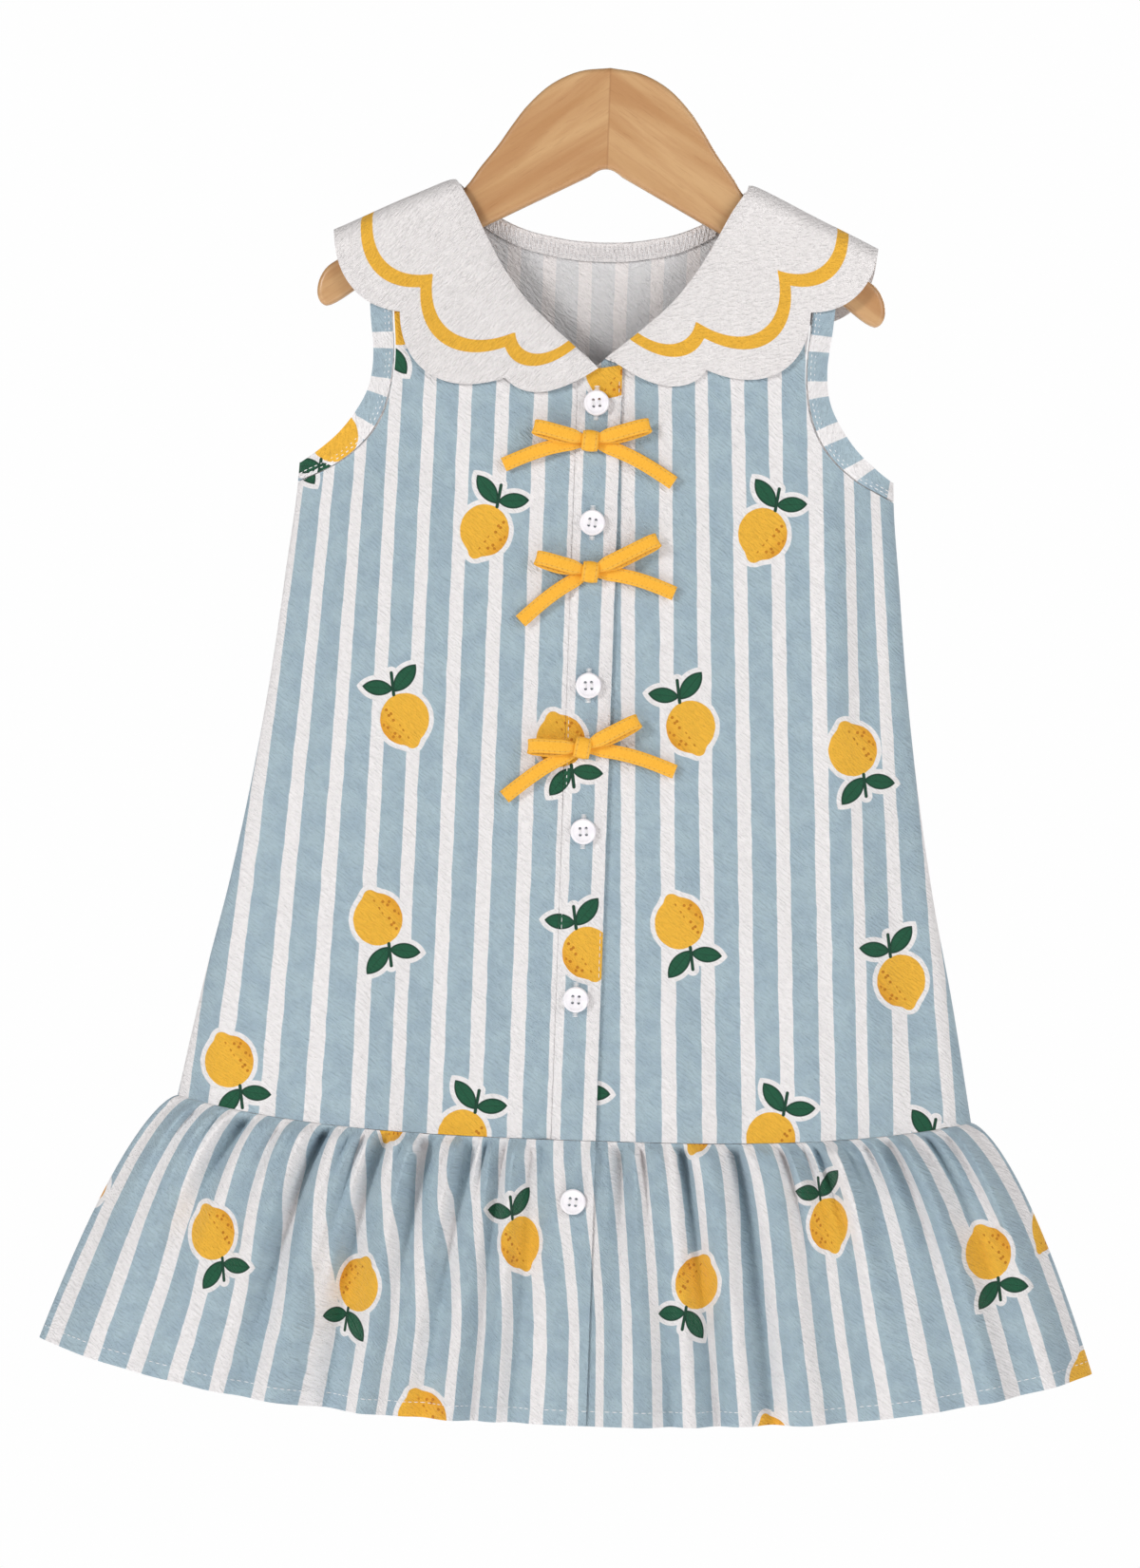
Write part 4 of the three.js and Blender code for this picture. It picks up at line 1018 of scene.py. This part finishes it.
pairs, arcs = collar_pairs()
inner = np.array([p[0] for p in pairs])[:, None]
outer = np.array([p[1] for p in pairs])[:, None]
reach = np.linspace(0, 1, 40)[None, :, None]
collar_flat = lerp(inner, outer, reach)
flat_x, flat_over = collar_flat[..., 0], collar_flat[..., 1]
ride_up = np.where(flat_over > 0, (LAYER + GAP) * (1 - smoothstep(np.abs(flat_x), 14, 30)), 0)
wave = np.sin(flat_x / 17 + 1) * np.sin(flat_over / 13) + 0.6 * np.sin((flat_x + flat_over) / 9)
from_inner = np.linalg.norm(collar_flat - inner, axis=-1)
roll = 1 - np.exp(-from_inner / 2.2)
reach_out = reach[..., 0] + 0 * flat_x
collar_lift = lerp(0.9, COLLAR_LIFT, roll) + ride_up + 0.35 * wave * smoothstep(reach_out, 0.1, 0.6)
collar_grid = on_shoulder(flat_x, flat_over, collar_lift)


# The printed line follows arcs of its own in front: the places where they meet, on each side,
# from the shoulder to the neck edge, and how far the arc to the next place bulges.
TRIM = {
    -1: [(-115.6, -76.8, 9.1), (-85.6, -107.1, 13.4), (-44.2, -134.6, 8.1), (-14.7, -136.3, 0)],
    1: [(115.5, -77.1, 7.7), (87.6, -99.9, 15.4), (47.8, -126.7, 7.3), (17.3, -131.9, 0)],
}


def inside_arcs(circles, places):
    """How far inside the union of some circles each place lies."""
    return np.max([radius - np.linalg.norm(places - centre, axis=-1)
                   for centre, radius in circles], axis=0)


trim_arcs = []
for rows in TRIM.values():
    ends = [np.array([x, float(lay_out(x, z, -1))]) for x, z, _ in rows]
    trim_arcs += [arc_through(a, b, row[2])[:2] for a, b, row in zip(ends, ends[1:], rows)]
to_front = smoothstep(flat_over, -6, 6)
printed_line = lerp(inside_arcs(arcs, collar_flat) - TRIM_INSIDE,
                    inside_arcs(trim_arcs, collar_flat), to_front)
collar = cloth("collar_cloth", collar_grid, flat_x / STRIPE, flat_over, np.array([0, -0.4, 1]),
               [collar_cotton, collar_inside], "collar_cotton", thick=1.1, trim=printed_line)
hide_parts("collar")

# ------------------------------------------------------------ armhole bindings


def binding_edge(name, at):
    rows = dict(ARMHOLE, index=np.arange(len(ARMHOLE["outer_x"]), dtype=float))
    return column(rows, "index", name)(at)


BINDING_STRIPE = 22.5  # the binding is cut across the stripes
BINDING_BLUE = {-1: 54, 1: 48.5}  # from the shoulder to the middle of a blue stripe
BINDING_LEMON = {-1: [(-128, -184, "C", 1)], 1: []}


def binding(side):
    """A binding from the armpit over the shoulder and back, with its two rows of stitches."""
    name = "left" if side < 0 else "right"
    stops = np.concatenate([np.linspace(0, 1, 22) ** 1.6, np.linspace(1, 7.95, 110)[1:]])
    ring = np.concatenate([stops, -stops[::-1]])[:, None]
    at = np.abs(ring)
    share = np.linspace(0, 1, 9)[None]
    x = lerp(binding_edge("inner_x", at) + 3.4 * GAP, binding_edge("outer_x", at), share)
    edge_z = lerp(binding_edge("inner_z", at), binding_edge("outer_z", at), share)
    z = ridge_z(x) - np.maximum(ridge_z(x) - edge_z, 0) * (at > 0)
    face = np.where(ring[:, [0]] < 0, 1, -1) * (at > 0)
    puff = 0.45 * np.sin(math.pi * np.clip(share * 1.5, 0, 1))
    y = face * (GAP / 2 + depth(x, z) + puff * smoothstep(at, 0, 1))
    grid = np.stack([side * x, y + 0 * z, z], -1)
    length = distances(grid[:, 4])[:, None]
    outwards = np.array([0, -1, 0]) * np.where(ring[:, :, None] < 0, -1.0, 1.0)
    number = (length - BINDING_BLUE[side]) / BINDING_STRIPE + 0 * z
    piece = striped_piece("armhole_binding_" + name, grid, number, share * 11 + 0 * z, outwards,
                          thick=0.9, lemons=BINDING_LEMON[side])
    inner_edge, direction = grid[:, 0], unit(grid[:, -1] - grid[:, 0])
    below_collar = slice(24, -24)
    rows = []
    for shift in (1.6, 3.4):
        line = inner_edge + direction * shift
        out = np.stack([0 * line[:, 0], np.where(ring[:, 0] < 0, 1.0, -1.0), 0 * line[:, 0]], -1)
        rows += stitch_row((line + out * 0.62)[below_collar], out[below_collar], pitch=3.0)
    return piece, joined("armhole_stitches_" + name, rows, thread_white)


left_binding, left_binding_stitches = binding(-1)
right_binding, right_binding_stitches = binding(1)

# ------------------------------------------------------------ serged band inside the back neck
BAND_HALF, BAND_TOP, BAND_DEEP = 56, 0.5, 8.8  # BAND_TOP: below the neck edge
band_out = np.linspace(-BAND_HALF, BAND_HALF, 120)[None]
band_down = np.linspace(0, 1, 10)[:, None]
band_z = back_neck(np.abs(band_out)) - BAND_TOP - BAND_DEEP * band_down
band_grid = on_bodice(NECK_CENTRE + band_out + 0 * band_z, band_z, 1, -LAYER)
neck_band = cloth("back_neck_band", band_grid, band_out / STRIPE + 0 * band_z, band_z, OUT_FRONT,
                  [collar_inside, collar_inside], "serged_thread", thick=0.8)
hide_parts("back_neck_seam")


def overlock():
    """Looper thread that zigzags over the band, and the two needle rows that hold it."""
    pitch, parts, points = 2.2, [], []
    turns = int(2 * BAND_HALF / pitch)
    for n in range(2 * turns):
        out = -BAND_HALF + n * pitch / 2
        drop = 1.3 if n % 2 else 8.0
        z = float(back_neck(abs(out))) - BAND_TOP - drop
        points.append(on_bodice(NECK_CENTRE + out, z, 1, -LAYER - 0.5))
    parts.append(thread(points, 0.5, sides=6))
    for drop in (2.4, 6.6):
        out = np.linspace(-BAND_HALF, BAND_HALF, 80)
        z = back_neck(np.abs(out)) - BAND_TOP - drop
        line = on_bodice(NECK_CENTRE + out, z, 1, -LAYER - 0.75)
        parts += stitch_row(line, (0, -1, 0), pitch=2.6)
    return joined("back_neck_overlock", parts, thread_white)


neck_overlock = overlock()

# ------------------------------------------------------------ topstitching


def strip_line(x, lift):
    z = np.linspace(seam_z(0) + 3, PLACKET_TOP - 3, 150)
    return on_bodice(x + 0 * z, z, -1, lift)


def grid_line(grid, above, out=0.45):
    """The line that runs this far above the lower edge of a grid, and the normals along it."""
    run = np.linalg.norm(np.diff(grid[::-1], axis=0), axis=-1)
    length = np.concatenate([np.zeros((1, grid.shape[1])), np.cumsum(run, axis=0)])
    at = (length < above).sum(0), np.arange(grid.shape[1])
    line, normal = grid[::-1][at], normals_of(grid)[::-1][at]
    side = np.sign(grid[..., 1].mean())
    normal = normal * np.sign(normal[:, [1]] * side)
    return line + normal * out, normal


HEM_DEPTH = 6.6  # the hem's seam above its edge


def hem_stitches(name, grid):
    line, normal = grid_line(grid, HEM_DEPTH)
    return joined(name, stitch_row(line, normal, pitch=3.6, radius=0.2), thread_white)


left_hem = hem_stitches("hem_stitches_left", left_ruffle_grid)
right_hem = hem_stitches("hem_stitches_right", right_ruffle_grid)
back_hem = hem_stitches("hem_stitches_back", back_ruffle_grid)
strip_rows = stitch_row(strip_line(PLACKET_LEFT + 1.2, 1.0), OUT_FRONT, radius=0.18) \
    + stitch_row(strip_line(PLACKET_RIGHT - 1.2, 2.08), OUT_FRONT, radius=0.18)
strip_stitches = joined("placket_stitches", strip_rows, thread_white)

# ------------------------------------------------------------ buttons
BUTTON_RADIUS = 6.25
HOLE_RADIUS, HOLE_OUT = 0.72, 1.5  # HOLE_OUT: from the middle, across and up
SIDES = 48
# From the middle of its back, round the rim, to the middle of its dish: radius and height.
BUTTON_PROFILE = [
    (0, 0), (4.6, 0), (5.9, 0.35), (6.25, 1.0), (6.2, 1.9), (5.9, 2.4), (5.5, 2.6), (5.1, 2.5),
    (4.7, 2.1), (4.2, 1.85), (2.6, 1.75), (0, 1.7),
]
HOLE_FLOOR = 1.7  # how far the middle of the dish stands off the strip


def button_mesh():
    """A turned button with a raised rim, a dished middle and four holes."""
    turns = [2 * math.pi * n / SIDES for n in range(SIDES)]
    points = [(0, BUTTON_PROFILE[0][1], 0)]
    for r, h in BUTTON_PROFILE[1:-1]:
        points += [(r * math.cos(turn), h, r * math.sin(turn)) for turn in turns]
    points.append((0, BUTTON_PROFILE[-1][1], 0))
    bands = len(BUTTON_PROFILE) - 3
    faces = []
    for n in range(SIDES):
        m = (n + 1) % SIDES
        faces.append([0, 1 + n, 1 + m])
        for ring in range(bands):
            a, b = 1 + ring * SIDES, 1 + (ring + 1) * SIDES
            faces.append([a + n, b + n, b + m, a + m])
        last = 1 + bands * SIDES
        faces.append([last + n, len(points) - 1, last + m])
    mesh = bpy.data.meshes.new("button")
    mesh.from_pydata((np.array(points) * (1, -1, 1) * MM).tolist(), [], faces)
    disc = new_object("button_blank", mesh)
    for sx in (-1, 1):
        for sz in (-1, 1):
            bpy.ops.mesh.primitive_cylinder_add(vertices=20, radius=HOLE_RADIUS * MM, depth=12 * MM,
                                                location=(sx * HOLE_OUT * MM, 0, sz * HOLE_OUT * MM),
                                                rotation=(math.pi / 2, 0, 0))
            drill = bpy.context.object
            cut = disc.modifiers.new("hole", "BOOLEAN")
            cut.operation, cut.solver, cut.object = "DIFFERENCE", "EXACT", drill
            evaluated = disc.evaluated_get(bpy.context.evaluated_depsgraph_get())
            drilled = bpy.data.meshes.new_from_object(evaluated)
            disc.modifiers.clear()
            disc.data = drilled
            bpy.data.objects.remove(drill)
    made = disc.data
    bpy.data.objects.remove(disc)
    made.materials.clear()
    made.materials.append(button_white)
    made.shade_smooth()
    made.set_sharp_from_angle(angle=math.radians(38))
    return made


shared_button = button_mesh()
buttons, button_threads = [], []
for number in range(1, 7):
    low, high = box_mm(f"button_{number}")
    disc = new_object(f"button_{number}_disc", shared_button.copy())
    middle, foot = (low + high) / 2, high[1]
    tilt = math.radians(random.Random(number).uniform(-9, 9))
    place = Matrix.Translation(Vector((middle[0], foot, middle[2])) * MM)
    disc.matrix_world = place @ Matrix.Rotation(tilt, 4, "Y")
    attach(disc, "root")
    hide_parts(f"button_{number}")
    buttons.append(disc)
    parts = []
    # Two strands run between each pair of holes, sunk at the holes and raised between them.
    for sx in (-HOLE_OUT, HOLE_OUT):
        turned = Matrix.Rotation(tilt, 3, "Y")
        ends = [turned @ Vector((sx, 0, sz)) for sz in (-HOLE_OUT, 0, HOLE_OUT)]
        for shift in (-0.25, 0.25):
            strand = [(middle[0] + e.x + shift, foot - HOLE_FLOOR - raised, middle[2] + e.z)
                      for e, raised in zip(ends, (-0.2, 0.35, -0.2))]
            parts.append(thread(strand, 0.26))
    # The worked ends of the buttonhole show above and below the button.
    if number < 6:
        for direction in (-1, 1):
            for k in range(5):
                z = middle[2] + direction * (BUTTON_RADIUS - 0.6 + k * 0.62)
                base = foot - 0.12
                parts.append(thread([(middle[0] - 1.3, base + 0.1, z), (middle[0], base - 0.25, z),
                                     (middle[0] + 1.3, base + 0.1, z)], 0.24))
    button_threads.append(joined(f"button_{number}_thread", parts, thread_white))

# ------------------------------------------------------------ bows
TAPE = 7.0  # width of the tape
BOW_ENDS = [
    {"loop_left": (-27, 6.5), "loop_right": (28, 9), "tail_left": (-41.5, -13), "tail_right": (41, -19)},
    {"loop_left": (-26, 6.5), "loop_right": (31.5, 17), "tail_left": (-33, -25), "tail_right": (41, -9)},
    {"loop_left": (-26, 0.5), "loop_right": (26, 14.5), "tail_left": (-37, -25), "tail_right": (45, -10)},
]
# Run of a loop: distance from the knot or, when negative, short of the end; how far it stands
# off; and how far the layer has slipped sideways.
LOOP_RUN = [
    (3, 3.4, 0), (6, 4.2, 0), (9, 5, 0), (13, 5.4, 0), (17, 5.5, 0), (-5, 5.2, 0), (-2, 4.9, 0.2),
    (-0.7, 4.4, 0.4), (-0.1, 3.8, 0.6), (-0.6, 3.1, 0.9), (-2, 2.6, 1.2), (-5, 2.4, 1.5),
    (15, 2.3, 1.7), (9, 2.2, 1.2), (4, 2.2, 0),
]


def rounded_section(width, thick, corner=4):
    """Points round a flat section with round edges, as (across, off)."""
    half, radius = width / 2 - thick / 2, thick / 2
    points = []
    for start, centre in ((-90, half), (90, -half)):
        for k in range(corner + 1):
            angle = math.radians(start + 180 * k / corner)
            points.append((centre + radius * math.cos(angle), radius * math.sin(angle)))
    flats = [-half / 2, 0, half / 2]
    return points[:corner + 1] + [(-x, radius) for x in flats] \
        + points[corner + 1:] + [(x, -radius) for x in flats]


def smooth_path(points, per_step=5):
    """More points on a smooth curve through the given ones."""
    points = np.asarray(points, float)
    padded = np.concatenate([[2 * points[0] - points[1]], points, [2 * points[-1] - points[-2]]])
    made = []
    for k in range(len(points) - 1):
        p0, p1, p2, p3 = padded[k:k + 4]
        for t in np.arange(per_step) / per_step:
            made.append(0.5 * (2 * p1 + (p2 - p0) * t
                               + (2 * p0 - 5 * p1 + 4 * p2 - p3) * t ** 2
                               + (3 * p1 - p0 - 3 * p2 + p3) * t ** 3))
    return np.array(made + [points[-1]])


def strip_face(x, z):
    """Where the front of the button strip lies, for the bows to rest on."""
    return -(GAP / 2 + depth(np.asarray(float(x)), np.asarray(float(z)), -1) + LAYER + 0.6)


def bow(number, ends):
    """The knot, two loops and two tails of one bow."""
    name = f"bow_{number}"
    knot_low, knot_high = box_mm(name + "_knot")
    cx, cz = (knot_low[0] + knot_high[0]) / 2, (knot_low[2] + knot_high[2]) / 2
    base = float(strip_face(cx, cz))
    made = []
    for part, tip in ends.items():
        reach_to = math.hypot(*tip)
        ux, uz = tip[0] / reach_to, tip[1] / reach_to
        sideways = (-uz, 0, ux)
        sign = 1 if tip[0] < 0 else -1
        if part.startswith("loop"):
            path = []
            for at, off, slip in LOOP_RUN:
                out = at if at > 0 else reach_to + at
                x, z = cx + ux * out, cz + uz * out
                y = min(base, float(strip_face(x, z))) - off - GAP
                path.append((x + sideways[0] * slip * sign, y, z + sideways[2] * slip * sign))
            line = smooth_path(path)
            n = len(line)
            from_end = np.minimum(np.arange(n), n - 1 - np.arange(n)) / n
            taper = lerp(0.62, 1, smoothstep(from_end, 0, 0.16))
        else:
            path = []
            for share in np.linspace(2.5 / reach_to, 1, 12):
                x = cx + tip[0] * share
                z = cz + tip[1] * share + 2.2 * math.sin(math.pi * share)
                lift = 0.65 + 1.1 * math.sin(math.pi * share) ** 2 + 1.2 * max(1 - share * 5, 0)
                path.append((x, min(base, float(strip_face(x, z))) - GAP - lift, z))
            line = smooth_path(path, 4)
            share = np.linspace(0, 1, len(line))
            taper = lerp(0.7, 1, smoothstep(share, 0, 0.2))
        piece = sweep(f"{name}_{part}_tape", line, rounded_section(TAPE, 1.0), sideways, tape,
                      taper)
        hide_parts(f"{name}_{part}")
        made.append(piece)
    made.append(knot(name, cx, cz, base))
    return made


KNOT_X, KNOT_Y, KNOT_Z = 4.1, 3.0, 5.3  # half its width, depth and height


def knot(name, cx, cz, base):
    """Tape wrapped once over the middle: a wrap that bulges, with folded edges."""
    lean = math.radians(random.Random(name).uniform(-10, 10))
    rows, columns = 26, 18
    points, faces = [], []
    for j in range(rows):
        turn = 2 * math.pi * j / rows
        for i in range(columns):
            s = i / (columns - 1) * 2 - 1
            half_h = KNOT_Z * (1 - 0.12 * s * s)
            half_d = KNOT_Y * (1 - 0.28 * s ** 4)
            z = half_h * math.copysign(abs(math.sin(turn)) ** 0.8, math.sin(turn))
            y = half_d * math.copysign(abs(math.cos(turn)) ** 0.75, math.cos(turn))
            crease = 0.35 * math.exp(-((s - 0.35 - 0.2 * z / 5) / 0.16) ** 2)
            y += crease if y < 0 else 0
            x = s * KNOT_X * (1 - 0.05 * abs(z) / 5)
            points.append((cx + x * math.cos(lean) - z * math.sin(lean), base - GAP - 3.1 + y,
                           cz + x * math.sin(lean) + z * math.cos(lean)))
    for j in range(rows):
        for i in range(columns - 1):
            a, b = j * columns + i, ((j + 1) % rows) * columns + i
            faces.append([a, b, b + 1, a + 1])
    faces.append([j * columns for j in range(rows)][::-1])
    faces.append([j * columns + columns - 1 for j in range(rows)])
    flat = [((i % columns) / (columns - 1) * TAPE - TAPE / 2, (i // columns) * 1.3)
            for f in faces for i in f]
    piece = finish_mesh(f"{name}_knot_tape", points, faces, [tape],
                        uvs={"cloth": flat}, sharp=60)
    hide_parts(name + "_knot")
    return piece


bow_pieces = []
for number, ends in enumerate(BOW_ENDS, 1):
    bow_pieces += bow(number, ends)

# ------------------------------------------------------------ hanger


# The end of an arm, and the corner below its middle: the points that steer each curve.
HANGER_END = [(139.5, -106), (140.5, -120), (133.5, -121)]
HANGER_FOOT = [(129.5, -120.6), (123, -115), (117, -110.5)]
HANGER_CORNER = [(8, -53), (5, -50.6), (3, -49.2), (0, -49.2)]
EDGE = 2.4  # radius of the board's edges
HANGER_TILT = 0.3


def bezier(a, b, c, d, steps):
    a, b, c, d = map(np.array, (a, b, c, d))
    t = np.linspace(0, 1, steps + 1)[:, None]
    return (1 - t) ** 3 * a + 3 * (1 - t) ** 2 * t * b + 3 * (1 - t) * t ** 2 * c + t ** 3 * d


def hanger_outline():
    upper = smooth_path(np.stack([HANGER_TOP["x"], HANGER_TOP["z"]], -1), 5)
    end = bezier(upper[-1], *HANGER_END, 14)[1:]
    foot = bezier(end[-1], *HANGER_FOOT, 6)[1:]
    right = np.concatenate([upper, end, foot, bezier(*HANGER_CORNER, 6)])
    return np.concatenate([right, (right[1:-1] * (-1, 1))[::-1]])


def hanger():
    """A flat board with rounded edges, from its outline."""
    low, high = box_mm("hanger")
    half_thick = (high[1] - low[1]) / 2
    curve = bpy.data.curves.new("hanger_board", "CURVE")
    curve.dimensions = "2D"
    curve.fill_mode = "BOTH"
    spline = curve.splines.new("POLY")
    outline = hanger_outline()
    spline.points.add(len(outline) - 1)
    for point, (x, z) in zip(spline.points, outline):
        point.co = (x * MM, z * MM, 0, 1)
    spline.use_cyclic_u = True
    curve.bevel_depth = EDGE * MM
    curve.bevel_resolution = 6
    curve.offset = -EDGE * MM
    curve.extrude = (half_thick - EDGE) * MM
    board = new_object("hanger_curve", curve)
    evaluated = board.evaluated_get(bpy.context.evaluated_depsgraph_get())
    mesh = bpy.data.meshes.new_from_object(evaluated)
    bpy.data.objects.remove(board)
    mesh.transform(Matrix.Rotation(math.pi / 2, 4, "X"))
    mesh.transform(Matrix.Rotation(math.radians(HANGER_TILT), 4, "Y"))
    mesh.materials.clear()
    mesh.materials.append(wood)
    mesh.shade_smooth()
    mesh.set_sharp_from_angle(angle=math.radians(35))
    piece = new_object("hanger_wood", mesh)
    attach(piece, "root")
    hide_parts("hanger")


hanger()

# ------------------------------------------------------------ floor, light and camera


def plane(name, corners, material):
    mesh = bpy.data.meshes.new(name)
    mesh.from_pydata(corners, [], [[0, 1, 2, 3]])
    mesh.materials.append(material)
    new_object(name, mesh)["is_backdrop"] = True


FLOOR_Z, ROOM, FLOOR_GLOW = -1.9, 8.0, 0.62
plane("floor", [(x * ROOM, y * ROOM, FLOOR_Z) for x, y in ((-1, -1), (1, -1), (1, 1), (-1, 1))],
      stage_material("floor_white", FLOOR_GLOW))


def area_light(name, place, aim, size, power):
    light = bpy.data.lights.new(name, "AREA")
    light.shape = "SQUARE"
    light.size = size
    light.energy = power
    lamp = new_object(name, light)
    lamp.location = place
    lamp.rotation_euler = (Vector(aim) - Vector(place)).to_track_quat("-Z", "Y").to_euler()


DRESS_MIDDLE = (0, 0, -0.33)
LIGHTS = [
    {"name": "key", "place": (-3.2, -3.2, 1.0), "size": 1.1, "power": 100},
    {"name": "fill", "place": (1.7, -1.7, 0.5), "size": 1.6, "power": 26},
    {"name": "back", "place": (1.9, 2.6, 0.9), "size": 1.6, "power": 38},
]
for light in LIGHTS:
    area_light(aim=DRESS_MIDDLE, **light)

# The room is a plain white one: its walls show almost white, and light the dress softly.
world = bpy.data.worlds.new("studio")
bpy.context.scene.world = world
world.use_nodes = True
room = world.node_tree
AMBIENT, SHOWN_WHITE = 0.19, 0.992
soft_light = room.nodes["Background"]
soft_light.inputs[0].default_value = (1, 1, 1, 1)
soft_light.inputs[1].default_value = AMBIENT
shown = room.nodes.new("ShaderNodeBackground")
shown.inputs[0].default_value = (1, 1, 1, 1)
shown.inputs[1].default_value = SHOWN_WHITE
choose = room.nodes.new("ShaderNodeMixShader")
room.links.new(room.nodes.new("ShaderNodeLightPath").outputs["Is Camera Ray"], choose.inputs[0])
room.links.new(soft_light.outputs[0], choose.inputs[1])
room.links.new(shown.outputs[0], choose.inputs[2])
room.links.new(choose.outputs[0], room.nodes["World Output"].inputs[0])

CAMERA_X, CAMERA_Z, CAMERA_AWAY = -0.0076, -0.3489, 4.0
CAMERA_ROLL, SENSOR = math.radians(2), 36
VIEW_HEIGHT, VIEW_PLANE = 0.7595, -0.02  # what the picture takes in at the front of the dress
camera_data = bpy.data.cameras.new("camera")
camera_data.sensor_width = SENSOR
camera_data.lens = SENSOR * (CAMERA_AWAY + VIEW_PLANE) / VIEW_HEIGHT
camera = new_object("camera", camera_data)
right = Vector((math.cos(CAMERA_ROLL), 0, math.sin(CAMERA_ROLL)))
up = Vector((-math.sin(CAMERA_ROLL), 0, math.cos(CAMERA_ROLL)))
turn = Matrix((right, up, Vector((0, -1, 0)))).transposed().to_4x4()
camera.matrix_world = Matrix.Translation((CAMERA_X, -CAMERA_AWAY, CAMERA_Z)) @ turn
bpy.context.scene.camera = camera
bpy.context.scene.view_settings.view_transform = "Standard"

low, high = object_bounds()
